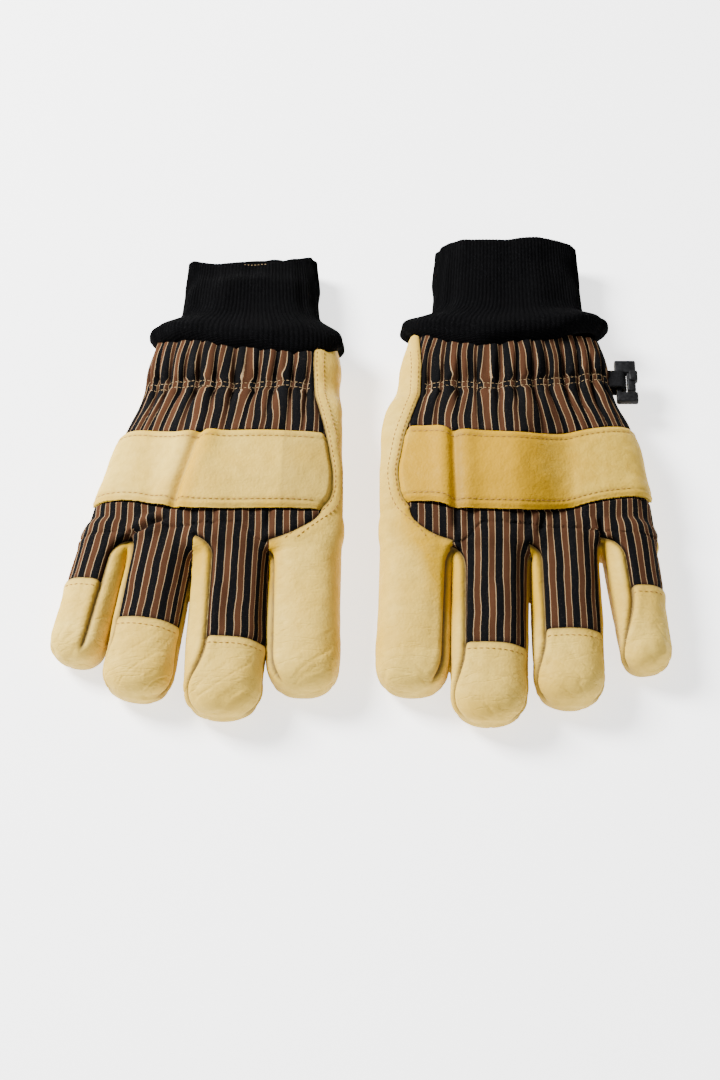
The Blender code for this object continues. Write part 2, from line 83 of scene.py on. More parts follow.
# Lengths are millimetres in the glove's plan, and angles are degrees round a tube, 90 being on top.
SKIN_STEP = 0.75
SKIN_END = 114.0
RESTING_DEPTH = -0.8
HAND_ROUNDNESS = 3.0
FINGER_ROUNDNESS = 2.5
LITTLE_SIDE_SEAM = 172.0
UNDER_SEAM_DROP = 24.0
# The seam between a finger's back and its fork arches out of the crotch over this length.
ARCH = 13.0
# The strap's finger-side and cuff-side edges at the thumb side, and how far it climbs from there.
STRAP = (8.0, 48.0)
STRAP_CLIMB = 11.0
STRAP_END = 166.0
ELASTIC_Y = 80.0
ELASTIC_ROWS = (-1.6, 1.6)
GATHERED_FROM = 42.0
GATHER_PITCH = 9.5
STRIPE_PITCH = 6.6
STITCH_PITCH = 2.7
STITCH_LIFT = 0.00008  # metres
# Two distances along a finger at which bend() works out the ends of a turn from the hand's body to the
# finger's; nothing uses those ends.
BEND = (-9.5, -27.0)
# The thumb turns about its pivot, through a hole in the palm. Its two panels meet at a height.
THUMB_PIVOT = (-19.0, 55.0)
THUMB_HOLE = 10.2
THUMB_SEAM_Z = 8.4
PALM_Z = 24.0

# Heights along the hand: y, then top and bottom on the thumb side, where the tucked thumb lifts
# the palm, and top and bottom on the little finger's side.
HAND_HEIGHTS = (
    (108, 29.0, 1.0, 26.0, 0.6),
    (94, 31.5, 1.0, 28.5, -2.0),
    (80, 29.5, 5.0, 25.5, -3.0),
    (68, 36.0, 17.0, 29.0, -3.0),
    (48, 39.5, 18.2, 29.0, -3.0),
    (24, 39.0, 18.2, 28.5, -3.0),
    (8, 36.0, 17.4, 26.5, -1.0),
    (0, 33.0, 13.0, 25.0, 1.0),
)
THUMB_LIFT = (-90.0, -60.0)

# Each finger's top height at the knuckle line, half way and at the tip, and its underside there.
FINGER_HEIGHTS = {
    "index": ((32.5, 29.0, 25.5), 12.0),
    "middle": ((31.5, 29.0, 26.0), 9.5),
    "ring": ((28.5, 27.5, 25.0), 4.5),
    "little": ((25.0, 24.0, 22.0), 1.5),
}

# How far out from the knuckle line each finger's forks start, on its thumb and little-finger sides.
CROTCHES = {"index": (0, 7), "middle": (8, 3), "ring": (2, 0), "little": (0, 0)}

# widths holds the hand's y, centre and half width, and palm_seam the y and x of the seam between
# palm leather and cloth back. Each finger's row is its length, its shift from its hinge, its half
# widths at base and tip, the angles round it of its back's thumb-side and little-finger-side
# seams, 90 being the top, its cap's seam, and how far its seams close towards the nose. crease is
# the fold across the knuckle strap, from its cuff side to its finger side, strap_line its sag by
# x, strap_warm its tint across the hand and strap_dull the x from which its thumb end is
# darker. folds are creases in the cloth, from one point to another with a depth, and stains are
# warm patches in the hide, with their place, size and strength. The cuff has its centre and half
# width at its sewn edge and at its mouth, and tacks for a few stitches there, from x to x at a y.
GLOVES = {
    "right": {
        "side": 1,
        "widths": (
            (118, -47.0, 41.0), (104, -47.0, 46.2), (80, -48.5, 47.0),
            (57, -52.0, 52.0), (18, -57.5, 57.5), (0, -60.0, 60.0),
        ),
        "palm_seam": (
            (116, -13), (94, -14), (72, -13), (46, -7.5), (26, -4.5), (15, -4.8),
            (9, -7.5), (3, -14), (-4, -23), (-9, -29), (-14, -33),
        ),
        "index": (79, -0.9, (16.6, 16.2), (None, 146), None, 0.0),
        "middle": (91, -1.7, (17.8, 17.5), (10, 117), 58, 1.0),
        "ring": (82, -0.6, (15.5, 15.8), (20, 143), 48, 1.0),
        "little": (64, 0.7, (12.4, 13.0), (72, 168), 26, 0.0),
        "crease": ((-66.5, 44), (-79, 4)),
        "strap_line": ((0, -2), (-20, -3.5), (-40, -5.5), (-62, -8), (-82, -3), (-98, 0), (-120, 0)),
        "elastic_rise": 7.0,
        "folds": (((-79, 6), (-99, -3), 1.6), ((-33, 12), (-34, -4), 0.9), ((-58, 8), (-60, -10), 0.7)),
        "stains": (((-34, -14), (5, 24), 1.0), ((-97, -6), (7, 14), 0.8), ((-64, -12), (6, 22), 0.5)),
        "strap_material": "cream_leather",
        "strap_warm": (0.0, 0.1, 0.2, 0.15, 0.0),
        "strap_dull": -28.5,
        "cuff": {"low": (-45.8, 45.8), "mouth": (-45.0, 32.8), "tacks": (-37, -49, 161.0)},
    },
    "left": {
        "side": -1,
        "widths": (
            (118, -60.0, 44.0), (104, -60.0, 49.5), (80, -59.5, 51.5),
            (57, -60.5, 60.0), (18, -63.0, 63.0), (0, -64.0, 63.5),
        ),
        "palm_seam": (
            (116, -19), (94, -20), (72, -19), (46, -11.5), (26, -8), (14, -9.5),
            (8, -13), (2, -18.5), (-4, -24), (-9, -27.6), (-14, -29),
        ),
        "index": (79, -1.4, (17.0, 16.6), (None, 140), None, 0.0),
        "middle": (94, 0.3, (18.5, 17.0), (52, 158), 61, 1.0),
        "ring": (85, 1.3, (16.2, 15.8), (50, 158), 53, 1.0),
        "little": (67, 0.0, (12.6, 11.4), (74, 168), 29, 1.0),
        "crease": ((-34.0, 49), (-34.5, 8)),
        "strap_line": (
            (0, 1), (-12, 1), (-28, -1), (-38, -5), (-65, -9), (-83, -5.5), (-100, -1), (-120, 2),
        ),
        "elastic_rise": 10.0,
        "folds": (((-34, 10), (-35, -4), 1.3), ((-75, 6), (-72, -8), 0.9), ((-101, 8), (-102, -6), 1.4)),
        "stains": (
            ((-28, -10), (9, 22), 1.5), ((-20, 0), (14, 14), 0.9), ((-33, -22), (6, 26), 0.9),
            ((-67, -20), (10, 30), 1.4), ((-98, -12), (8, 18), 0.7),
        ),
        "strap_material": "strap_leather",
        "strap_warm": (0.6, 1.3, 1.25, 0.6, 0.0),
        "strap_dull": None,
        "cuff": {"low": (-60.0, 49.2), "mouth": (-62.5, 36.0), "tacks": None},
    },
}


# ---------------------------------------------------------------- small mathematics


def mix(low, high, share):
    return low + (high - low) * share


def smooth(value, start, end):
    share = np.clip((value - start) / (end - start), 0.0, 1.0)
    return share * share * (3 - 2 * share)


def bump(distance, width):
    """A bell of height 1 at distance 0."""
    return np.exp(-((distance / width) ** 2))


def soft_table(rows, key, column, blur=5.0):
    """A column of a table at a key, with the corners between its rows rounded off."""
    ordered = sorted(rows)
    keys = [row[0] for row in ordered]
    values = [row[column] for row in ordered]
    total = 0.0
    shifts = (-1.0, -0.5, 0.0, 0.5, 1.0)
    for shift in shifts:
        total = total + np.interp(key + shift * blur, keys, values)
    return total / len(shifts)


def smooth_min(a, b, k):
    h = np.clip(0.5 + 0.5 * (b - a) / k, 0.0, 1.0)
    return b + (a - b) * h - k * h * (1 - h)


def smooth_max(a, b, k):
    return -smooth_min(-a, -b, k)


def unit(vectors):
    return vectors / (np.linalg.norm(vectors, axis=1)[:, None] + 1e-12)


def angle_round(rise, sideways):
    """The angle round a tube in degrees, from -90 to 270 with 90 on top."""
    turn = np.degrees(np.arctan2(rise, sideways))
    return np.where(turn < -90, turn + 360, turn)


def distance_outside(power, *parts):
    """Roughly the distance outside a rounded body, from pairs of (share of a reach, 1 / that reach)."""
    r = sum(share**power for share, _ in parts) ** (1 / power) + 1e-9
    pull = r ** (1 - power)
    slope = sum((share ** (power - 1) * pull * steep) ** 2 for share, steep in parts)
    return (r - 1) / np.sqrt(slope + 1e-8)


def hashed(cells, seed):
    """A repeatable value from 0 to 1 for each whole-number cell."""
    x, y, z = (cells[:, k].astype(np.int64) for k in range(3))
    n = (x * 73856093) ^ (y * 19349663) ^ (z * 83492791) ^ (seed * 2654435761)
    n = (n ^ (n >> 13)) * 1274126177
    n = n & 0x7FFFFFFF
    n = (n ^ (n >> 15)) * 2246822519
    return ((n >> 8) & 0xFFFF) / 65535.0


def noise(points, size, seed=0):
    """Smooth noise from -1 to 1 with features of a size, at points."""
    p = np.asarray(points, dtype=float) / size
    cell = np.floor(p).astype(np.int64)
    f = p - cell
    f = f * f * f * (f * (f * 6 - 15) + 10)
    total = np.zeros(len(p))
    for i in (0, 1):
        for j in (0, 1):
            for k in (0, 1):
                weight = (f[:, 0] if i else 1 - f[:, 0]) * (f[:, 1] if j else 1 - f[:, 1])
                weight = weight * (f[:, 2] if k else 1 - f[:, 2])
                total += weight * hashed(cell + np.array((i, j, k)), seed)
    return total * 2 - 1


# ---------------------------------------------------------------- the soft shapes


class Finger:
    """One finger's soft tube. s runs from the knuckle line to the tip."""

    def __init__(self, glove, name):
        self.name = name
        self.length, shift, self.halves, self.seams, self.cap, self.closes = glove.spec[name]
        self.tops, self.bottom = FINGER_HEIGHTS[name]
        self.crotches = CROTCHES[name]
        joint = JOINTS[f"{glove.name}_{name}_knuckle"]
        self.base = np.array((glove.to_plan([joint["pos_m"]])[0, 0] + shift, 0.0))
        self.tip = self.halves[1] * 1.02
        self.dome = self.length - self.tip
        # The finger points square to its hinge.
        self.along = np.array((glove.side * joint["axis"][1], -joint["axis"][0]))
        self.across = np.array((-self.along[1], self.along[0]))

    def shape(self, s):
        share = np.clip(s / self.dome, 0, 1)
        half = mix(self.halves[0], self.halves[1], share)
        top = np.interp(s, (0, self.dome / 2, self.dome), self.tops)
        bottom = mix(self.bottom, RESTING_DEPTH, smooth(s, 0, 24))
        return half, (top + bottom) / 2, (top - bottom) / 2

    def local(self, points):
        flat = points[:, :2] - self.base
        return flat @ self.along, flat @ self.across

    def angle(self, points):
        """Distance along the finger and the angle round it."""
        s, sideways = self.local(points)
        half, middle, rise = self.shape(s)
        return s, angle_round((points[:, 2] - middle) / rise, sideways / half)

    def field(self, points):
        s, sideways = self.local(points)
        half, middle, rise = self.shape(s)
        ahead = np.maximum(0, (s - self.dome) / self.tip)
        behind = np.maximum(0, (-s - 2) / 8)
        c, q = np.abs(sideways / half), np.abs((points[:, 2] - middle) / rise)
        plan = (c**2.3 + ahead**2.3 + behind**2.3) ** (1 / 2.3) + 1e-9
        steep = np.hypot((c / plan) ** 1.3 / half, (ahead / plan) ** 1.3 / self.tip)
        return distance_outside(FINGER_ROUNDNESS, (plan, steep), (q, 1 / rise))

    def is_back(self, points):
        """Whether points lie between the two seams of the finger's back."""
        s, turn = self.angle(points)
        return (turn > self.seam("thumb_top", s)) & (turn < self.seam("little_top", s))

    def seam(self, which, s):
        """A seam's angle at distances along the finger. It arches out of the crotch and closes at
        the tip's side."""
        on_thumb = which.startswith("thumb")
        side, drop = (0.0, -UNDER_SEAM_DROP) if on_thumb else (180.0, UNDER_SEAM_DROP)
        outer = self.name == "little" and not on_thumb
        start = self.cap or self.length - 34
        closing = self.closes * np.clip((s - start) / (self.length - start), 0, 1) ** 2
        if which.endswith("under") and not outer:
            return mix(side + drop, side + drop * 0.75, closing)
        full = self.seams[0 if on_thumb else 1]
        if full is None:
            return np.full_like(s, -200.0)
        rise = np.clip((s - self.crotches[0 if on_thumb else 1]) / ARCH, 0, 1)
        opened = mix(side - drop * 0.5, full, np.sqrt(1 - (1 - rise) ** 2))
        return mix(np.full_like(s, full) if outer else opened, side + drop * 0.75, closing)


class Glove:
    """One glove's plan, its hand's soft tube and its fingers."""

    def __init__(self, name):
        self.name = name
        self.spec = GLOVES[name]
        self.side = self.spec["side"]
        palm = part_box(name + "_palm_leather")
        self.edge_x = palm[1][0] if self.side > 0 else palm[0][0]
        self.knuckle_y = JOINTS[name + "_index_knuckle"]["pos_m"][1] + 0.00025
        self.fingers = [Finger(self, finger) for finger in FINGERS]

    def to_plan(self, points):
        points = np.asarray(points, float) - (self.edge_x, self.knuckle_y, 0)
        return points * (self.side, 1, 1) * 1000

    def to_world(self, points):
        return np.asarray(points, float) / 1000 * (self.side, 1, 1) + (self.edge_x, self.knuckle_y, 0)

    def across(self, y):
        return [soft_table(self.spec["widths"], y, k, 8) for k in (1, 2)]

    def heights(self, x, y):
        """The middle height and half the thickness of the hand."""
        thumb = smooth(x, *THUMB_LIFT)
        top, bottom = (
            mix(soft_table(HAND_HEIGHTS, y, k + 2), soft_table(HAND_HEIGHTS, y, k), thumb) for k in (1, 2)
        )
        return (top + bottom) / 2, (top - bottom) / 2

    def hand_field(self, points):
        x, y, z = points.T
        centre, half = self.across(y)
        middle, rise = self.heights(x, y)
        web = mix(4.0, 12.0, smooth(x, -92, -74))
        c, q, ahead = np.abs((x - centre) / half), np.abs((z - middle) / rise), np.maximum(0, -y / web)
        return distance_outside(HAND_ROUNDNESS, (c, 1 / half), (q, 1 / rise), (ahead, 1 / web))

    def hand_angle(self, points):
        """The angle round the hand."""
        x, y, z = points.T
        centre, half = self.across(y)
        middle, rise = self.heights(x, y)
        return angle_round((z - middle) / rise, (x - centre) / half)

    def palm_x(self, y):
        """The seam between the palm leather and the cloth back."""
        return soft_table(self.spec["palm_seam"], y, 1, 3)

    def knuckle(self, x):
        """The line where the hand's panels end. It drops to the crotch beside the index finger."""
        return -9.0 * smooth(x, -48, -36)

    def beyond(self, points):
        """How far points are on the hand's side of the knuckle line."""
        return points[:, 1] - self.knuckle(points[:, 0])

    def palm_seam(self, y):
        """That seam's angle round the hand."""
        centre, half = self.across(y)
        c = np.clip((self.palm_x(y) - centre) / half, -0.98, 0.98)
        return np.degrees(np.arctan2((1 - np.abs(c) ** HAND_ROUNDNESS) ** (1 / HAND_ROUNDNESS), c))

    def skin_field(self, points):
        meeting = mix(0.05, 3.0, smooth(points[:, 1], -18, -5))
        joined = self.fingers[0].field(points)
        for finger in self.fingers[1:]:
            joined = smooth_min(joined, finger.field(points), meeting)
        total = smooth_min(self.hand_field(points), joined, 4.0)
        return smooth_max(total, -points[:, 2], 1.5)

    def divides(self, points):
        """For each gap between fingers, how far a point lies on the little finger's side of it."""
        gaps = []
        for near, far in zip(self.fingers, self.fingers[1:]):
            sn, ln = near.local(points)
            sf, lf = far.local(points)
            gaps.append((-(ln + near.shape(sn)[0]) - (lf - far.shape(sf)[0])) / 2)
        return gaps

    def strap_edges(self, x):
        """The strap's finger-side and cuff-side edges. They arch a little on each side of its crease."""
        climb = STRAP_CLIMB * -x / 120 + soft_table(self.spec["strap_line"], x, 1, 6)
        near, far = self.spec["crease"]
        fold = mix(far[0], near[0], 0.5)
        arch = -1.3 * bump(x - fold, 9)
        return STRAP[0] + climb + arch, STRAP[1] + climb + arch * 0.9

    def owner(self, points):
        """Which finger each point belongs to, from 0, the index, to 3, the little finger."""
        return sum((gap > 0).astype(int) for gap in self.divides(points))

    def is_back(self, points):
        turn = self.hand_angle(points)
        return (self.beyond(points) > 0) & (turn > self.palm_seam(points[:, 1])) & (turn < LITTLE_SIDE_SEAM)

    def in_strap(self, points):
        low, high = self.strap_edges(points[:, 0])
        return self.is_back(points) & (points[:, 1] > low) & (points[:, 1] < high)

    def hand_across(self, points):
        """Distance across the flat cloth. Above the strap it is gathered on to the narrower wrist."""
        x, y, z = points.T
        centre, half = self.across(np.maximum(y, GATHERED_FROM))
        centre_from, half_from = self.across(GATHERED_FROM)
        middle, rise = self.heights(x, y)
        flat = (centre - x) * half_from / half - centre_from
        here = np.where(y > GATHERED_FROM, flat, -x)
        own_centre, own_half = self.across(y)
        return here - side_drop((x - own_centre) / own_half, middle + rise - z)

    def elastic_y(self, across):
        rise = self.spec["elastic_rise"] * smooth(across, 45, 120)
        return ELASTIC_Y + rise + 1.1 * np.sin(across / 17.0) + 0.5 * np.sin(across / 6.3 + 2)

    def stripe_wobble(self, across, y, owner):
        """The stripes' sideways drift: more where the cloth is gathered at the elastic."""
        through, depth, near = gathers(self, across, y)
        spot = np.column_stack((across, y, 0 * y))
        loose = 0.55 * noise(spot, 26, 61) + 0.25 * noise(spot, 9, 62)
        tucked = 5.0 * (0.5 * smooth(through, 0, 0.2) + 0.5 * smooth(through, 0.8, 1.0) - through)
        return loose + near * (owner < 0) * (tucked + 4.0 * noise(spot * np.array((1, 0.5, 1)), 12, 63))


def side_drop(sideways, drop):
    """The extra cloth taken by its fall down the side of a rounded shape."""
    return np.sign(sideways) * 0.8 * np.maximum(drop, 0) * smooth(np.abs(sideways), 0.45, 0.95)


def from_pivot(points):
    return np.hypot(points[:, 0] - THUMB_PIVOT[0], points[:, 1] - THUMB_PIVOT[1])


def thumb_field(points):
    """Roughly the distance outside the tucked thumb, a soft capsule lying under the palm."""
    length, base, tip = 37, 14.6, 13.0
    lean = math.radians(30)
    flat = points[:, :2] - np.array(THUMB_PIVOT)
    s = flat @ np.array((-math.sin(lean), -math.cos(lean)))
    sideways = flat @ np.array((math.cos(lean), -math.sin(lean)))
    half = mix(base, tip, np.clip(s / length, 0, 1))
    middle, rise = THUMB_SEAM_Z, 8.6
    over = np.maximum(0, s - length) / tip + np.maximum(0, -s) / base
    plan = np.sqrt((sideways / half) ** 2 + over**2) + 1e-9
    q = np.abs((points[:, 2] - middle) / rise)
    body = distance_outside(FINGER_ROUNDNESS, (plan, 1 / half), (q, 1 / rise))
    neck = np.maximum.reduce((from_pivot(points) - 9.2, points[:, 2] - 21.2, 12 - points[:, 2]))
    return smooth_max(smooth_min(body, neck, 0.6), -points[:, 2], 1.2)


# ---------------------------------------------------------------- skins


def slope_of(field, points):
    """The field's direction of steepest rise."""
    rise = np.empty_like(points)
    for k, shift in enumerate(0.25 * np.eye(3)):
        rise[:, k] = field(points + shift) - field(points - shift)
    return unit(rise)


def surface_net(field, low, high, step):
    """Quads round the inside of a field, one vertex to each grid cell that its surface crosses."""
    axes = [np.arange(low[k], high[k] + step, step) for k in range(3)]
    value = np.empty([len(axis) for axis in axes])
    for i in range(0, len(axes[0]), 16):
        part = np.stack(np.meshgrid(axes[0][i : i + 16], axes[1], axes[2], indexing="ij"), axis=-1)
        value[i : i + 16] = field(part.reshape(-1, 3)).reshape(part.shape[:3])
    inside = value < 0
    corners = [(i, j, k) for i in (0, 1) for j in (0, 1) for k in (0, 1)]
    size = [len(axis) - 1 for axis in axes]
    count = np.zeros(size, int)
    for i, j, k in corners:
        count += inside[i : i + size[0], j : j + size[1], k : k + size[2]]
    cells = np.argwhere((count > 0) & (count < 8))
    number = np.full(size, -1)
    number[tuple(cells.T)] = np.arange(len(cells))
    at = {corner: value[tuple((cells + np.array(corner)).T)] for corner in corners}
    total, hits = np.zeros((len(cells), 3)), np.zeros(len(cells))
    for a in corners:
        for axis in range(3):
            if a[axis]:
                continue
            b = tuple(c + (k == axis) for k, c in enumerate(a))
            crossed = (at[a] < 0) != (at[b] < 0)
            share = np.where(crossed, at[a] / np.where(crossed, at[a] - at[b], 1), 0)
            place = np.array(a, float) + share[:, None] * (np.arange(3) == axis)
            total += place * crossed[:, None]
            hits += crossed
    points = np.array(low) + step * (cells + total / hits[:, None])
    quads = []
    for axis in range(3):
        one, two = (axis + 1) % 3, (axis + 2) % 3
        ahead = np.moveaxis(inside, (axis, one, two), (0, 1, 2))
        ids = np.moveaxis(number, (axis, one, two), (0, 1, 2))
        leaving = ahead[:-1, 1:-1, 1:-1] & ~ahead[1:, 1:-1, 1:-1]
        entering = ~ahead[:-1, 1:-1, 1:-1] & ahead[1:, 1:-1, 1:-1]
        for found, flip in ((leaving, False), (entering, True)):
            i, j, k = np.argwhere(found).T
            ring = np.column_stack((ids[i, j, k], ids[i, j + 1, k], ids[i, j + 1, k + 1], ids[i, j, k + 1]))
            quads.append(ring[:, ::-1] if flip else ring)
    return points, np.vstack(quads)


def edges_of(faces):
    ends = np.vstack([faces[:, (k, (k + 1) % faces.shape[1])] for k in range(faces.shape[1])])
    return np.unique(np.sort(ends, axis=1), axis=0)


def averaged(points, edges, values):
    """For each point, the mean of its neighbours' values."""
    total = np.zeros_like(values)
    count = np.bincount(edges.ravel(), minlength=len(points))
    for near, far in ((0, 1), (1, 0)):
        for k in range(values.shape[1]):
            total[:, k] += np.bincount(edges[:, near], values[edges[:, far], k], len(points))
    return total / np.maximum(count, 1)[:, None]


def settle(points, quads, field, still, rounds=3):
    """Evens out the points over the field's surface. Still marks those that keep their place."""
    edges = edges_of(quads)
    for _ in range(rounds):
        move = averaged(points, edges, points) - points
        normal = slope_of(field, points)
        move -= normal * (move * normal).sum(axis=1)[:, None]
        moved = points + 0.7 * move
        moved -= normal * field(moved)[:, None]
        points = np.where(still(points)[:, None], points, moved)
    return points


def triangles(points, quads):
    """Each quad split across its shorter diagonal."""
    p = points[quads]
    first = np.linalg.norm(p[:, 0] - p[:, 2], axis=1) <= np.linalg.norm(p[:, 1] - p[:, 3], axis=1)
    one = np.where(first[:, None], quads[:, (0, 1, 2)], quads[:, (0, 1, 3)])
    two = np.where(first[:, None], quads[:, (0, 2, 3)], quads[:, (1, 2, 3)])
    return np.vstack((one, two))


class Skin:
    """A triangle mesh that is cut along seams. Lines holds the points on each seam by name."""

    def __init__(self, points, tris):
        self.points, self.tris = points, tris
        self.held = np.zeros(len(points), bool)
        self.lines = {}

    def centres(self):
        return self.points[self.tris].mean(axis=1)

    def show(self, directions, height):
        """Moves the shown points out by a height along directions, and keeps them above the table."""
        self.shown = self.points + directions * height[:, None]
        self.shown[:, 2] = np.maximum(self.shown[:, 2], 0.05)
        self.normals = normals_of(self.shown, self.tris)

    def divide(self, name, field, where=None):
        """Cuts triangles where the field is 0: all of them, or those whose centres where() picks.
        A point close to that line moves onto it."""
        tris = self.tris if where is None else self.tris[where(self.centres())]
        if len(tris) == 0:
            return
        used = np.unique(tris)
        value = np.full(len(self.points), np.nan)
        value[used] = field(self.points[used])
        a, b = edges_of(tris).T
        crossing = (value[a] > 0) != (value[b] > 0)
        a, b = a[crossing], b[crossing]
        share = value[a] / (value[a] - value[b])
        ends, others = np.concatenate((a, b)), np.concatenate((b, a))
        shares = np.concatenate((share, 1 - share))
        close = (shares < 0.3) & (~self.held[ends] | (shares < 0.04))
        order = np.argsort(-shares[close])
        ends, others, shares = ends[close][order], others[close][order], shares[close][order]
        moved = mix(self.points[ends], self.points[others], shares[:, None])
        loose = ~self.held[ends]
        self.points[ends[loose]] = moved[loose]
        value[ends] = 0
        a, b = edges_of(tris).T
        crossing = value[a] * value[b] < 0
        a, b = a[crossing], b[crossing]
        share = value[a] / (value[a] - value[b])
        first_new = len(self.points)
        fresh = np.arange(first_new, first_new + len(a))
        on_line = np.concatenate((np.nonzero(value == 0)[0], fresh))
        self.points = np.vstack((self.points, mix(self.points[a], self.points[b], share[:, None])))
        self.held = np.concatenate((self.held, np.zeros(len(a), bool)))
        self.held[on_line] = True
        self.lines.setdefault(name, []).append(self.points[on_line])
        if len(a):
            self.split(a * first_new + b, fresh, first_new)

    def split(self, keys, fresh, first_new):
        """Splits the triangles whose edges, by key, have fresh points on them."""
        order = np.argsort(keys)
        keys, fresh = keys[order], fresh[order]
        middles = np.full(self.tris.shape, -1)
        for k in range(3):
            edge = self.tris[:, (k, (k + 1) % 3)]
            low, high = edge.min(axis=1), edge.max(axis=1)
            wanted = low * first_new + high
            found = np.minimum(np.searchsorted(keys, wanted), len(keys) - 1)
            hit = (keys[found] == wanted) & (low < first_new) & (high < first_new)
            middles[hit, k] = fresh[found[hit]]
        cuts = (middles >= 0).sum(axis=1)
        pieces = [self.tris[cuts == 0]]
        for k in range(3):
            v0, v1, v2 = (self.tris[:, (k + i) % 3] for i in range(3))
            m01, m12, m20 = (middles[:, (k + i) % 3] for i in range(3))
            one, two = (cuts == 1) & (m01 >= 0), (cuts == 2) & (m12 < 0)
            for chosen, corners in (
                (one, (v0, m01, v2)), (one, (m01, v1, v2)),
                (two, (v0, m01, m20)), (two, (m01, v1, v2)), (two, (m01, v2, m20)),
            ):
                pieces.append(np.column_stack(corners)[chosen])
        v0, v1, v2 = self.tris[cuts == 3].T
        m01, m12, m20 = middles[cuts == 3].T
        for corners in ((v0, m01, m20), (m01, v1, m12), (m20, m12, v2), (m01, m12, m20)):
            pieces.append(np.column_stack(corners))
        self.tris = np.vstack(pieces)

    def distance(self, name, points, reach=9.0):
        """Each point's distance from a seam, up to reach."""
        far = np.full(len(points), reach)
        line = np.vstack(self.lines.get(name, [np.zeros((0, 3))]))
        if len(line) == 0:
            return far
        low, high = line.min(axis=0) - reach, line.max(axis=0) + reach
        near = np.nonzero(((points > low) & (points < high)).all(axis=1))[0]
        if len(near) == 0:
            return far
        tree = KDTree(len(line))
        for k, spot in enumerate(line):
            tree.insert(spot, k)
        tree.balance()
        found = np.array([tree.find(spot)[2] for spot in points[near]])
        far[near] = np.minimum(found, reach)
        return far


def normals_of(points, tris):
    p = points[tris]
    face = np.cross(p[:, 1] - p[:, 0], p[:, 2] - p[:, 0])
    total = np.empty_like(points)
    for k in range(3):
        total[:, k] = sum(np.bincount(tris[:, c], face[:, k], len(points)) for c in range(3))
    return unit(total)


# ---------------------------------------------------------------- materials


class Nodes:
    """Short names for building one material's node tree."""

    def __init__(self, title, roughness, specular, sheen=0.0):
        self.material = bpy.data.materials.new(title)
        self.material.use_nodes = True
        self.tree = self.material.node_tree
        self.shader = self.tree.nodes["Principled BSDF"]
        settings = {"Roughness": roughness, "Specular IOR Level": specular, "Sheen Weight": sheen}
        for name, value in settings.items():
            self.shader.inputs[name].default_value = value
        self.texture_place = self.tree.nodes.new("ShaderNodeTexCoord").outputs["Object"]

    def link(self, value, socket):
        if hasattr(value, "is_output"):
            self.tree.links.new(value, socket)
        elif isinstance(value, tuple) and socket.type == "RGBA":
            socket.default_value = (*value, 1)
        else:
            socket.default_value = value

    def add(self, kind, inputs, output=0, **settings):
        """One more node with its settings and inputs. Returns one of its outputs."""
        node = self.tree.nodes.new("ShaderNode" + kind)
        for name, value in settings.items():
            setattr(node, name, value)
        for name, value in inputs.items():
            self.link(value, node.inputs[name])
        return node.outputs[output]

    def attribute(self, name):
        return self.add("Attribute", {}, "Fac", attribute_name=name)

    def math(self, operation, a, b=0.0, clamp=False):
        return self.add("Math", {0: a, 1: b}, operation=operation, use_clamp=clamp)

    def times(self, a, b):
        return self.math("MULTIPLY", a, b)

    def plus(self, a, b):
        return self.math("ADD", a, b)

    def about_zero(self, value):
        return self.math("SUBTRACT", value, 0.5)

    def place(self, scale, turn):
        return self.add("Mapping", {"Scale": scale, "Rotation": turn, "Vector": self.texture_place})

    def noise(self, scale, detail=3.0, place=None, roughness=0.55, distortion=0.0):
        inputs = {"Scale": scale, "Detail": detail, "Roughness": roughness, "Distortion": distortion}
        inputs["Vector"] = self.texture_place if place is None else place
        return self.add("TexNoise", inputs)

    def cells(self, scale, feature="F1"):
        inputs = {"Scale": scale, "Vector": self.texture_place}
        return self.add("TexVoronoi", inputs, "Distance", feature=feature)

    def ramp(self, value, *stops, steps=False):
        """Colours by value. Each stop is (value, colour) or (value, grey)."""
        output = self.add("ValToRGB", {0: value})
        band = output.node.color_ramp
        band.interpolation = "CONSTANT" if steps else "LINEAR"
        while len(band.elements) < len(stops):
            band.elements.new(0.5)
        for element, (position, colour) in zip(band.elements, stops):
            element.position = position
            element.color = (*colour, 1) if isinstance(colour, tuple) else (colour, colour, colour, 1)
        return output

    def blend(self, share, low, high):
        return self.add("Mix", {0: share, 6: low, 7: high}, 2, data_type="RGBA")

    def bump(self, height, strength, distance, below=None):
        inputs = {"Strength": strength, "Distance": distance, "Height": height}
        return self.add("Bump", inputs if below is None else {**inputs, "Normal": below})

    def finish(self, colour, **inputs):
        for name, value in {"Base Color": colour, **inputs}.items():
            self.link(value, self.shader.inputs[name])
        return self.material


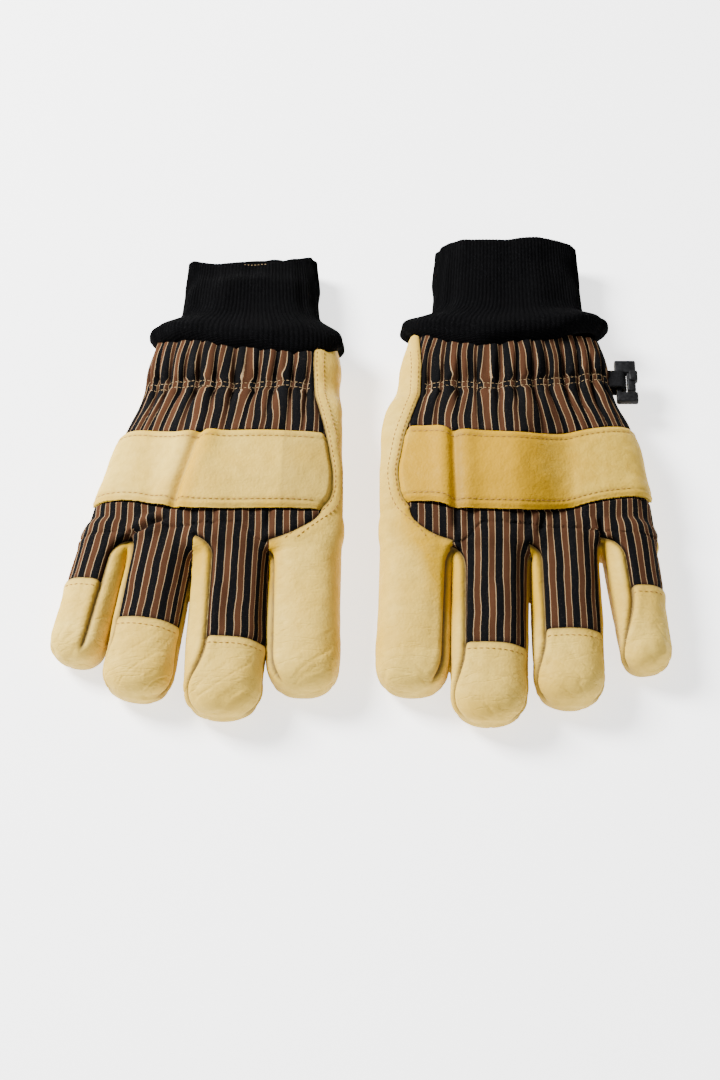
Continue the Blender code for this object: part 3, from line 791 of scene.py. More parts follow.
def leather(name, pale, warm, deep):
    """Fine-grained hide: pale in the open, warmer with the attribute 'warm' for its stains, and darker with
    'shade', which holds painted shade and the seams' dark lines.
    """
    n = Nodes(name, roughness=0.6, specular=0.12)
    clouds = n.noise(38, 4, roughness=0.6)
    mottle = n.noise(240, 3)
    warmth = n.plus(n.attribute("warm"), n.times(n.about_zero(clouds), 0.9))
    colour = n.blend(n.math("ADD", warmth, 0.12, clamp=True), pale, warm)
    colour = n.blend(n.ramp(mottle, (0.38, 0.0), (0.72, 0.34)), colour, deep)
    colour = n.blend(n.ramp(n.cells(1500), (0.0, 0.30), (0.33, 0.0)), colour, deep)
    # Painted shade: the hide turns khaki brown where 'shade' is high.
    colour = n.blend(n.attribute("shade"), colour, (0.12, 0.078, 0.026))
    pebble = n.bump(n.cells(850, "SMOOTH_F1"), 0.35, 0.0004)
    grain = n.bump(n.noise(1700, 2), 0.3, 0.0003, pebble)
    slant = n.noise(170, 3, n.place((0.15, 1.0, 0.5), (0, 0, 0.62)), 0.5, 0.3)
    lines = n.ramp(n.math("ABSOLUTE", n.about_zero(slant)), (0.0, 0.0), (0.035, 1.0))
    deep_lines = n.times(n.math("SUBTRACT", lines, 1.0), n.plus(n.attribute("crease"), 0.12))
    wrinkles = n.bump(deep_lines, 0.35, 0.0004, grain)
    soft = n.bump(n.noise(120, 4, roughness=0.6), 0.35, 0.0014, wrinkles)
    return n.finish(colour, Normal=soft, Roughness=n.ramp(mottle, (0.3, 0.52), (0.75, 0.74)))


def striped_cloth(name):
    """Canvas with black and brown stripes, and a thin cream line down each side of the brown."""
    n = Nodes(name, roughness=0.95, specular=0.04)
    across, along = n.attribute("across"), n.attribute("along")
    waver = n.times(n.about_zero(n.noise(420, 2)), 0.35)
    stripe = n.math("FRACT", n.math("DIVIDE", n.plus(across, waver), STRIPE_PITCH))
    black, brown, cream = (0.0022, 0.0025, 0.0032), (0.062, 0.0245, 0.011), (0.35, 0.235, 0.125)
    stops = (0.0, black), (0.515, cream), (0.562, brown), (0.953, cream)
    colour = n.ramp(stripe, *stops, steps=True)
    warp, weft = (
        n.math("ABSOLUTE", n.math("SINE", n.times(way, math.pi / pitch)))
        for way, pitch in ((across, 0.52), (along, 0.62))
    )
    twill = n.math("SINE", n.times(n.plus(across, along), 2 * math.pi / 1.05))
    threads = n.plus(n.times(warp, weft), n.times(twill, 0.25))
    colour = n.blend(n.ramp(threads, (0.0, 0.38), (0.5, 0.0)), colour, (0.008, 0.007, 0.006))
    fleck = n.noise(1400, 2)
    colour = n.blend(n.ramp(fleck, (0.58, 0.0), (0.78, 0.08)), colour, (0.20, 0.15, 0.12))
    # Painted shade: the canvas turns near black where 'shade' is high, in its folds and pleats.
    colour = n.blend(n.attribute("shade"), colour, (0.0025, 0.002, 0.0018))
    weave = n.bump(threads, 0.35, 0.0003)
    return n.finish(colour, Normal=n.bump(n.noise(180, 3), 0.3, 0.0010, weave))


def black_knit(name):
    """Fine ribbed knit: its loops run up and down each rib, with a little lint."""
    n = Nodes(name, roughness=1.0, specular=0.02)
    legs = n.math("ABSOLUTE", n.about_zero(n.math("FRACT", n.math("DIVIDE", n.attribute("across"), 0.7))))
    slanted = n.plus(n.attribute("along"), n.times(legs, 0.8))
    loops = n.math("SINE", n.times(slanted, 2 * math.pi / 0.85))
    fuzz = n.noise(900, 4, roughness=0.7)
    tone = n.plus(n.times(loops, 0.18), fuzz)
    colour = n.ramp(tone, (0.25, (0.0006, 0.0006, 0.0007)), (0.85, (0.0042, 0.0042, 0.0046)))
    lint = n.ramp(n.noise(5200, 1), (0.74, 0.0), (0.80, 0.5))
    colour = n.blend(lint, colour, (0.10, 0.10, 0.11))
    return n.finish(colour, Normal=n.bump(n.plus(loops, n.times(fuzz, 1.5)), 0.5, 0.0003))


def plain_fabric(name, low, high, size=900, sheen=0.2):
    n = Nodes(name, roughness=0.9, specular=0.1, sheen=sheen)
    fleece = n.noise(size, 4, roughness=0.65)
    return n.finish(n.ramp(fleece, (0.3, low), (0.7, high)), Normal=n.bump(fleece, 0.5, 0.0008))


def thread(name, low, high):
    n = Nodes(name, roughness=0.7, specular=0.3)
    twist = n.noise(2600, 2)
    return n.finish(n.ramp(twist, (0.3, low), (0.7, high)), Normal=n.bump(twist, 0.4, 0.0002))


def black_plastic(name):
    n = Nodes(name, roughness=0.42, specular=0.16)
    wear = n.noise(700, 4)
    colour = n.ramp(wear, (0.35, (0.003, 0.003, 0.0033)), (0.8, (0.012, 0.012, 0.013)))
    dull = n.ramp(wear, (0.3, 0.36), (0.8, 0.6))
    return n.finish(colour, Normal=n.bump(n.noise(1600, 2), 0.15, 0.0002), Roughness=dull)


def floor_paper():
    n = Nodes("pale_floor", roughness=0.9, specular=0.05)
    n.shader.inputs["Emission Color"].default_value = (1, 1, 1, 1)
    n.shader.inputs["Emission Strength"].default_value = 1.9
    return n.finish((0.97, 0.97, 0.97))


LOOKS = {
    "cream_leather": (leather, (0.67, 0.46, 0.082), (0.51, 0.285, 0.0), (0.42, 0.265, 0.042)),
    "strap_leather": (leather, (0.63, 0.415, 0.050), (0.45, 0.242, 0.0), (0.37, 0.19, 0.0)),
    "striped_cloth": (striped_cloth,),
    "black_knit": (black_knit,),
    "fleece_lining": (plain_fabric, (0.55, 0.50, 0.42), (0.78, 0.74, 0.66)),
    "elastic_webbing": (plain_fabric, (0.42, 0.40, 0.36), (0.66, 0.63, 0.58), 1500),
    "black_webbing": (plain_fabric, (0.002, 0.002, 0.002), (0.008, 0.008, 0.009), 1500, 0.0),
    "black_plastic": (black_plastic,),
    "tan_thread": (thread, (0.26, 0.125, 0.018), (0.42, 0.22, 0.04)),
    "pale_thread": (thread, (0.30, 0.19, 0.08), (0.48, 0.34, 0.17)),
}
MATERIALS = {name: make(name, *values) for name, (make, *values) in LOOKS.items()}


# ---------------------------------------------------------------- pieces


def add_object(name, data):
    made = bpy.data.objects.new(name, data)
    bpy.context.scene.collection.objects.link(made)
    return made


def add_mesh(name, points, faces, material, normals=None, **values):
    """A smooth-shaded mesh, from points in metres in the row frame, with its values as attributes."""
    mesh = bpy.data.meshes.new(name)
    faces = np.asarray(faces)
    mesh.vertices.add(len(points))
    mesh.vertices.foreach_set("co", np.asarray(points, np.float32).ravel())
    mesh.loops.add(faces.size)
    mesh.loops.foreach_set("vertex_index", faces.astype(np.int32).ravel())
    mesh.polygons.add(len(faces))
    mesh.polygons.foreach_set("loop_start", np.arange(0, faces.size, faces.shape[1], dtype=np.int32))
    mesh.update(calc_edges=True)
    mesh.validate()
    mesh.shade_smooth()
    for key, value in values.items():
        layer = mesh.attributes.new(key, "FLOAT", "POINT")
        layer.data.foreach_set("value", np.asarray(value, np.float32))
    if normals is not None:
        mesh.normals_split_custom_set_from_vertices(np.asarray(normals, float).tolist())
    mesh.materials.append(MATERIALS[material])
    return add_object(name, mesh)


def panel(glove, name, skin, chosen, lift, thickness, material, flip=False):
    """The chosen triangles of a finished skin as one piece, with its cut edges turned in."""
    tris = skin.tris[chosen]
    used, faces = np.unique(tris, return_inverse=True)
    faces = faces.reshape(tris.shape)
    outside = skin.normals[used] * (-1 if flip else 1)
    lift = np.broadcast_to(lift, len(skin.points))[used]
    points = skin.shown[used] + skin.normals[used] * lift[:, None]
    if flip:
        faces = faces[:, ::-1]
    ends = np.vstack([faces[:, (k, (k + 1) % 3)] for k in range(3)])
    keys = ends.min(axis=1) * len(used) + ends.max(axis=1)
    _, first, count = np.unique(keys, return_index=True, return_counts=True)
    rim = ends[first[count == 1]]
    values = {key: value[used] for key, value in skin.values.items()}
    if len(rim):
        border, inner = np.unique(rim, return_inverse=True)
        inner = inner.reshape(rim.shape) + len(points)
        points = np.vstack((points, points[border] - outside[border] * thickness))
        outside = np.vstack((outside, outside[border]))
        one = np.column_stack((rim[:, 1], rim[:, 0], inner[:, 0]))
        two = np.column_stack((rim[:, 1], inner[:, 0], inner[:, 1]))
        faces = np.vstack((faces, one, two))
        values = {key: np.concatenate((value, value[border])) for key, value in values.items()}
    if glove.side < 0:
        faces = faces[:, ::-1]
    normals = outside * np.array((glove.side, 1, 1))
    return add_mesh(name, glove.to_world(points), faces, material, normals, **values)


# ---------------------------------------------------------------- the sewn skin

# Each kind of seam: its depth, the puff of hide beside it, its warm tint and its dark line, which is partly
# the seam's dark joint and partly painted shade in its groove.
SEAM_LOOKS = {
    "thumb_top": (1.6, 0.5, 0.25, 1.5),
    "little_top": (1.6, 0.5, 0.25, 1.5),
    "thumb_under": (0.5, 0.1, 0.0, 0.2),
    "little_under": (0.5, 0.1, 0.0, 0.2),
    "cap": (0.4, 0.0, 0.15, 0.7),
    "palm": (0.6, 0.3, 0.25, 0.8),
    "side": (0.5, 0.1, 0.1, 0.4),
}


def finger_seams(skin, glove, k):
    """Cuts one finger's part of the skin along its fork, front and cap seams."""
    finger = glove.fingers[k]
    missing = {"index": ("thumb_top", "thumb_under"), "little": ("little_under",)}
    reaches = {
        "thumb_top": (-70, 110), "thumb_under": (-70, 60),
        "little_top": (70, 250), "little_under": (120, 250),
    }

    def mine(centre):
        return (glove.beyond(centre) < 0) & (glove.owner(centre) == k)

    for which, (low, high) in reaches.items():
        if which in missing.get(finger.name, ()):
            continue

        def field(points, which=which):
            s, turn = finger.angle(points)
            return turn - finger.seam(which, s)

        def nearby(centre, low=low, high=high):
            turn = finger.angle(centre)[1]
            return mine(centre) & (turn > low) & (turn < high)

        skin.divide(f"{finger.name}_{which}", field, nearby)
    if finger.cap:
        skin.divide(
            f"{finger.name}_cap", lambda p: finger.local(p)[0] - finger.cap,
            lambda centre: mine(centre) & finger.is_back(centre),
        )


def hand_seams(skin, glove):
    """Cuts the hand along its palm, side and strap seams, and round the thumb's hole."""

    def between(low, high):
        def chosen(centre):
            turn = glove.hand_angle(centre)
            return (glove.beyond(centre) > 0) & (turn > low) & (turn < high)

        return chosen

    skin.divide("palm", lambda p: glove.hand_angle(p) - glove.palm_seam(p[:, 1]), between(-60, 120))
    skin.divide("little_side", lambda p: glove.hand_angle(p) - LITTLE_SIDE_SEAM, between(120, 230))
    for edge, name in enumerate(("strap_low", "strap_high")):
        skin.divide(name, lambda p, edge=edge: p[:, 1] - glove.strap_edges(p[:, 0])[edge], glove.is_back)
    skin.divide(
        "strap_end", lambda p: glove.hand_angle(p) - STRAP_END,
        lambda centre: glove.in_strap(centre) & (glove.hand_angle(centre) > 120),
    )
    skin.divide(
        "thumb_hole", lambda p: from_pivot(p) - THUMB_HOLE,
        lambda centre: (centre[:, 2] < PALM_Z) & (from_pivot(centre) < 14),
    )


def leather_height(points, where):
    """Soft unevenness of the hide, with slanting wrinkles where it is asked for."""
    soft = 0.42 * noise(points, 14, 3) + 0.10 * noise(points, 6, 4)
    turned = points @ np.array(((0.82, 0.57, 0), (-0.57, 0.82, 0), (0, 0, 1.0))).T
    creases = np.abs(noise(turned * np.array((0.16, 1.0, 0.5)), 4.6, 8))
    return soft - 0.32 * where * bump(creases, 0.12)


def gathers(glove, across, y):
    """The pleats fanning out from the elastic.

    Returns how far through its pleat each point is, how deep the nearest valley is, and how strong
    the gathering is there.
    """
    off = y - glove.elastic_y(across)
    spot = np.column_stack((across, y * 0.10, 0 * y))
    drift = 3.2 * noise(spot, 15, 20) + 0.10 * off * noise(spot + 40.0, 21, 28)
    pleat = (across + drift) / GATHER_PITCH
    strength = np.exp(-np.abs(off) / 19.0) * (0.30 + 0.70 * smooth(np.abs(off), 0.8, 5.0))
    valley = np.round(pleat)
    depth = hashed(np.column_stack((valley, 0 * valley, 0 * valley)).astype(int), 29)
    return pleat - np.floor(pleat), 0.25 + 0.75 * depth, strength


def cloth_height(glove, points, across):
    """The gathers at the elastic's two rows of stitches, and looser folds further off.

    Returns the height, and the painted shade of the folds, pleats and stitch rows at each point.
    """
    x, y = points[:, 0], points[:, 1]
    off = y - glove.elastic_y(across)
    through, depth_here, near = gathers(glove, across, y)
    fine = np.column_stack((across, y * 0.22, 0 * y))
    puff = np.sqrt(np.abs(np.sin(np.pi * through)))
    valley = (1 - smooth(np.minimum(through, 1 - through), 0.0, 0.22)) * depth_here
    rows = sum(bump(off - row, 1.1) for row in ELASTIC_ROWS) * (0.6 + 0.4 * noise(fine, 2.0, 23))
    height = near * (3.8 * (puff - 0.75) - 1.4 * valley + 1.3 * noise(fine, 4.2, 22))
    height += -0.8 * rows - 0.9 * bump(off, 6)
    height += 0.9 * noise(np.column_stack((across, y * 0.35, 0 * y)), 13, 24)
    # Painted shade in the pleats' valleys and along the elastic's stitch rows.
    fold_shade = near * (1.25 * valley + 0.45 * (1 - puff)) + 0.3 * rows
    low, high = glove.strap_edges(x)
    for edge, seed in ((low, 25), (high, 26)):
        height += 0.6 * bump(y - edge, 8) * noise(fine, 3.8, seed)
    for (x1, y1), (x2, y2), depth in glove.spec["folds"]:
        dx, dy = x2 - x1, y2 - y1
        share = np.clip(((x - x1) * dx + (y - y1) * dy) / (dx**2 + dy**2), 0, 1)
        away = np.hypot(x - mix(x1, x2, share), y - mix(y1, y2, share))
        ends = smooth(share, 0, 0.2) * (1 - 0.5 * smooth(share, 0.7, 1.0))
        height += ends * depth * (0.7 * bump(away - 3.2, 2.2) - bump(away, 1.3))
        # Painted shade along the crease.
        fold_shade += 0.5 * depth * ends * bump(away, 1.0)
    under = smooth(y, low - 1.5, low + 0.5) * (1 - smooth(y, high - 0.5, high + 1.5))
    return mix(height, -2.2, under), fold_shade


def dress(skin, glove):
    """Works out each point's height over the plain skin, and its values for the materials."""
    base = skin.points
    normal = normals_of(base, skin.tris)
    beyond = glove.beyond(base)
    owner = np.where(beyond < 0, glove.owner(base), -1)
    to_seam = {name: skin.distance(name, base) for name in skin.lines}
    across = glove.hand_across(base)
    along = base[:, 1].copy()
    on_back = glove.is_back(base)
    height, tip_wrinkles, warm, shade = (np.zeros(len(base)) for _ in range(4))
    nose = np.ones(len(base))
    for k, finger in enumerate(glove.fingers):
        mine = owner == k
        s, sideways = finger.local(base[mine])
        half, middle, rise = finger.shape(s)
        drop = side_drop(sideways / half, middle + rise - base[mine, 2])
        across[mine] = -finger.base[0] - sideways - drop
        along[mine] = -s
        if finger.cap:
            on_back[mine] = finger.is_back(base[mine]) & (s < finger.cap)
        nose[mine] = 1 - smooth(s, finger.length - 7, finger.length - 1.5)
        tip_wrinkles[mine] = 0.25 + 0.75 * smooth(s, finger.length - 38, finger.length - 12)
    for name, far in to_seam.items():
        if name in ("knuckle", "thumb_hole") or name.startswith(("gap", "strap")):
            continue
        depth, puff, tint, line = SEAM_LOOKS[name.split("_", 1)[-1]]
        seen = nose if name.startswith(FINGERS) else 1.0
        height += seen * (puff * bump(far - 3.4, 2.2) - depth * bump(far, 1.1))
        warm += seen * tint * bump(far, 3.0)
        # Painted shade: a dark line in the seam's groove, partly its dark joint, and a wider band of painted
        # shade beside it.
        shade += seen * (line * bump(far, 0.85) + 0.12 * bump(far, 2.6))
    for k in range(3):
        warm += 0.22 * bump(to_seam[f"gap_{k}"], 6)
    height -= 0.6 * bump(np.where(owner > 0, to_seam["knuckle"], 9), 1.3) * (normal[:, 2] > 0.1)
    sewn = [far for name, far in to_seam.items() if not name.startswith(("gap", "strap", "thumb_hole"))]
    at_seam = np.minimum.reduce(sewn)
    cloth, fold_shade = cloth_height(glove, base, across)
    side = np.minimum(to_seam["palm"], to_seam["little_side"])
    loose = np.where(beyond > -8, smooth(side, 0.0, 5.0), 0)
    loose = loose * np.where(owner < 0, 1, 1 - smooth(-beyond, 0, 8))
    finger_cloth = 0.5 * noise(np.column_stack((across, along * 0.3, 0 * along)), 6, 31)
    cloth = cloth * loose + np.where(owner >= 0, finger_cloth * smooth(at_seam, 0, 4), 0)
    hide = leather_height(base, tip_wrinkles) * smooth(at_seam, 0.0, 3.0)
    height += np.where(on_back, cloth, hide)
    height *= smooth(base[:, 2], -0.5, 1.5) * 0.85 + 0.15
    height *= smooth(to_seam["thumb_hole"], 0, 3)
    warm += 0.25 * noise(base, 19, 41)
    for spot, size, amount in glove.spec["stains"]:
        warm += amount * np.exp(-(((base[:, :2] - np.array(spot)) / np.array(size)) ** 2).sum(axis=1))
    # Painted shade on the hide low down near the table.
    low_down = 1 - smooth(base[:, 2], 1.0, 15.0)
    # Painted shade: in the cloth's folds on the back, and on the hide low down near the table.
    shade += np.where(on_back, fold_shade * loose, np.where(owner < 0, 0.30, 0.42) * low_down)
    skin.show(normal, height)
    skin.values = {
        "across": across + glove.stripe_wobble(across, base[:, 1], owner),
        "along": along,
        "warm": np.clip(warm, 0, 1.3),
        "shade": np.clip(shade, 0, 0.9),
        "crease": tip_wrinkles,
    }
    skin.to_seam, skin.plain_normals = to_seam, normal


def grow_skin(glove):
    """The glove's smooth skin: netted round its field, evened out, and cut along its seams."""
    reach = max(finger.length for finger in glove.fingers) + 6
    low = (-150.0, -reach, -1.0)
    points, quads = surface_net(glove.skin_field, low, (5.0, SKIN_END, 43.0), SKIN_STEP)
    points = settle(points, quads, glove.skin_field, lambda p: p[:, 1] > SKIN_END - 1.5 * SKIN_STEP)
    skin = Skin(points, triangles(points, quads))
    skin.divide("knuckle", glove.beyond)
    for k in range(3):
        skin.divide(f"gap_{k}", lambda p, k=k: glove.divides(p)[k], lambda centre: glove.beyond(centre) < 0)
    for k in range(4):
        finger_seams(skin, glove, k)
    hand_seams(skin, glove)
    dress(skin, glove)
    return skin


def hand_panels(glove, skin):
    """The hand's panels, all on the hand's body. Returns the palm, the cloth back and the strap."""
    centre = skin.centres()
    hand, back = glove.beyond(centre) > 0, glove.is_back(centre)
    hide = hand & ~back & ~((from_pivot(centre) < THUMB_HOLE) & (centre[:, 2] < PALM_Z))
    band = hand & back & (np.abs(centre[:, 1] - ELASTIC_Y) < 4.5)
    fold = 0.85 * (1 - smooth(skin.to_seam["palm"], 1.5, 8.0)) * smooth(glove.beyond(skin.points), 0.5, 6.0)
    made = []
    for part, node, chosen, lift, thickness, material, flip in (
        ("palm_hide", "palm_leather", hide, fold, 1.3, "cream_leather", False),
        ("back_canvas", "back_cloth", hand & back, 0, 0.8, "striped_cloth", False),
        ("lining", "palm_lining", hide & (centre[:, 1] < 104), -2.0, 0.6, "fleece_lining", True),
        ("elastic", "wrist_elastic", band, -1.9, 0.6, "elastic_webbing", True),
    ):
        made.append(panel(glove, f"{glove.name}_{part}", skin, chosen, lift, thickness, material, flip))
        wear(made[-1], glove.name + "_hand", f"{glove.name}_{node}")
    strap = knuckle_strap(glove, skin, glove.in_strap(centre) & (glove.hand_angle(centre) < STRAP_END))
    wear(strap, glove.name + "_hand", glove.name + "_knuckle_strap")
    return made[0], made[1], strap


def knuckle_strap(glove, skin, chosen):
    """The leather strap over the knuckles: raised, folded under at its edges, with one soft crease."""
    points = skin.points
    x, y = points[:, 0], points[:, 1]
    low, high = glove.strap_edges(x)
    edge = np.minimum(y - low, high - y)
    (x1, y1), (x2, y2) = glove.spec["crease"]
    fold = x - mix(x2, x1, np.clip((y - y2) / (y1 - y2), -0.1, 1.1))
    lift = 1.0 + 0.7 * smooth(edge, 0.0, 2.2) - 0.3 * bump(edge - 3.5, 0.8)
    lift += -1.9 * bump(fold, 2.0) + 1.3 * bump(fold - 5.5, 4.5) + 1.1 * bump(fold + 6, 4.5)
    lift += 0.35 * noise(points, 12, 51) + 0.12 * noise(points, 4, 52)
    lift -= 1.9 * (1 - smooth(skin.to_seam["palm"], 0.0, 2.4))
    warm = np.interp(smooth(-x, 0, 120), (0.0, 0.1, 0.45, 0.78, 0.95), glove.spec["strap_warm"])
    warm += 0.35 * bump(edge, 3.0) + 0.7 * bump(fold - 3.5, 4.5) + 0.25 * noise(points, 16, 53)
    # Painted shade on the hollow side of the crease and in the grooves by the stitch rows.
    shade = 0.30 * bump(fold + 1.6, 2.0) + 0.25 * bump(edge - 3.5, 0.8) + 0.10 * bump(fold + 5, 5)
    # Beyond a slanting line the right strap's thumb end is darker, through 'shade'.
    if glove.spec["strap_dull"]:
        away = x - glove.spec["strap_dull"] - 0.04 * (y - low)
        shade += 0.24 * smooth(away, -0.5, 0.5) + 0.12 * bump(away, 0.7)
    # The strap is shaded by its own relief rather than the skin's.
    raised = Skin(points, skin.tris[chosen])
    raised.show(skin.plain_normals, lift)
    raised.values = dict(skin.values, warm=np.clip(warm, 0, 1.4), shade=np.clip(shade, 0, 1))
    everything = np.ones(len(raised.tris), bool)
    return panel(glove, glove.name + "_strap", raised, everything, 0, 1.5, glove.spec["strap_material"])


def finger_panels(glove, skin, k):
    """One finger's panels, each with its placement baked into its mesh."""
    finger = glove.fingers[k]
    name = f"{glove.name}_{finger.name}_"
    centre = skin.centres()
    s, turn = finger.angle(centre)
    mine = (glove.beyond(centre) < 0) & (glove.owner(centre) == k)
    little_top, little_under = finger.seam("little_top", s), finger.seam("little_under", s)
    little_fork = (turn < little_under) & (turn >= little_top)
    if finger.name == "index":
        parts = [
            ("hide", "leather", ~little_fork, 0, "cream_leather"),
            ("fork_strip", "fork", little_fork, 0, "cream_leather"),
        ]
    else:
        top = finger.is_back(centre)
        tip = s > finger.cap
        forks = np.minimum(*(skin.to_seam[f"{finger.name}_{side}_top"] for side in ("thumb", "little")))
        fold = 0.75 * (1 - smooth(skin.to_seam[finger.name + "_cap"], 2.0, 9.0)) * smooth(forks, 0, 3)
        thumb_fork = (turn > finger.seam("thumb_under", s)) & (turn <= finger.seam("thumb_top", s))
        parts = [
            ("cloth", "back", top & ~tip, 0, "striped_cloth"),
            ("cap", "tip", top & tip, fold, "cream_leather"),
            ("front_hide", "front", ~top & ~thumb_fork & ~little_fork, 0, "cream_leather"),
        ]
        if finger.name == "little":
            parts.append(("fork_strip", "fork", thumb_fork, 0, "cream_leather"))
        else:
            parts.append(("thumb_side_strip", "thumb_side_fork", thumb_fork, 0, "cream_leather"))
            parts.append(("little_side_strip", "little_side_fork", little_fork, 0, "cream_leather"))
    made = {}
    for part, node, chosen, lift, material in parts:
        made[part] = panel(glove, name + part, skin, mine & chosen, lift, 1.2, material)
        bend(made[part], glove, finger)
        stand_for(made[part], name + node)
    if finger.cap:
        sew_cap(glove, finger, made["cap"])


def stand_for(piece, node):
    """Hides the CAD node that the piece stands for."""
    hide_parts(node)


def wear(piece, body, node):
    """The piece moves with a body and stands for a CAD node."""
    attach(piece, body)
    stand_for(piece, node)


def bend(piece, glove, finger):
    """Works out where the piece would turn from the hand to the finger, which nothing uses, and bakes its
    placement into its mesh.
    """
    ends = [glove.to_world([[*(finger.base - s * finger.along), 0.0]])[0] for s in BEND]
    tuple(ends[0])
    tuple(ends[1])
    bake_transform(piece)


# ---------------------------------------------------------------- thumbs, cuffs, thread and clip


def add_thumb(glove):
    """The tucked thumb, in its front and back panels."""
    points, quads = surface_net(thumb_field, (-64, -14, -1), (2, 76, 25), 0.95)
    points = settle(points, quads, thumb_field, lambda p: np.zeros(len(p), bool))
    skin = Skin(points, triangles(points, quads))
    skin.divide("side", lambda p: p[:, 2] - THUMB_SEAM_Z)
    base = skin.points
    far = skin.distance("side", base)
    height = -0.8 * bump(far, 1.5) + leather_height(base, np.full(len(base), 0.5)) * smooth(far, 0, 3)
    height *= 1 - smooth(base[:, 2], 15.5, 17)
    skin.show(normals_of(base, skin.tris), height)
    crease = np.full(len(base), 0.6)
    # Painted shade: 'shade' is a dark line along the side seam, partly its dark joint and partly painted
    # shade in its groove.
    skin.values = {"warm": 0.4 * bump(far, 4), "shade": 0.3 * bump(far, 1), "crease": crease}
    upper = skin.centres()[:, 2] > THUMB_SEAM_Z
    for chosen, part in ((~upper, "front"), (upper, "back")):
        name = f"{glove.name}_thumb_{part}"
        piece = panel(glove, name + "_hide", skin, chosen, 0, 1.2, "cream_leather")
        wear(piece, glove.name + "_thumb", name)


# How far the cuff has drawn in from the hand's width, and its top and bottom, by share of its length.
CUFF_PROFILE = (
    (0.0, 0.06, 29.5, 0.6),
    (0.05, -0.03, 32.5, -0.2),
    (0.12, -0.03, 33.8, -0.6),
    (0.18, 0.08, 32.5, -0.6),
    (0.24, 0.44, 30.0, -0.6),
    (0.30, 0.80, 27.5, -0.6),
    (0.40, 0.98, 26.0, -0.6),
    (0.75, 1.12, 24.5, -0.4),
    (1.0, 1.2, 24.0, 0.2),
)
RIB = 1.5
CUFF_WALL = 2.6
CUFF_ROUNDNESS = 2.6


def cuff_rows():
    """Rows from the sewn edge up the outside, over the mouth and back down the inside: (share, depth)."""
    rows = [(0.012, 6.0)]
    for turn in np.radians(np.linspace(0, 80, 7)):
        rows.append((0.07 * (1 - math.cos(turn)), 4.5 * (1 - math.sin(turn))))
    rows += [(share, 0.0) for share in np.linspace(0.075, 0.985, 64)]
    for turn in np.linspace(0, math.pi, 9):
        rows.append((0.988 + 0.012 * math.sin(turn), CUFF_WALL / 2 * (1 - math.cos(turn))))
    return rows + [(share, CUFF_WALL) for share in np.linspace(0.975, 0.3, 18)]


def cuff_ends(glove, c, q):
    """How far a cuff's sewn edge swings from straight, and how far back and up its mouth leans.

    The sewn edge swings furthest in the middle of the back. The right cuff's mouth sags there, so
    that its far side shows behind it.
    """
    back, top, middle = smooth(q, 0.1, 0.9), smooth(q, -0.25, 0.7), 1 - np.abs(c) ** 2.5
    if glove.name == "right":
        dip = mix(3.0, -2.5, back) - 6.5 * c * mix(0.35, 1.0, back) - back * 5.5 * bump(c - 0.1, 0.9)
        lean = 1.8 * c - 3.2 * np.abs(c) ** 4 + mix(2.5, -8.0, top) * middle
        return dip + 0.8 * np.sin(c * 9 + 1), lean, mix(6.0, -6.0, top) * middle
    dip = mix(10.5, 6.5, back) - 3.0 * c * back - back * 11.0 * bump(c - 0.1, 0.75)
    return dip + 0.8 * np.sin(c * 8 + 2), -2.6 + 1.2 * np.sin(c * 4 - 2.2) * top, mix(3.0, 0.0, top) * middle


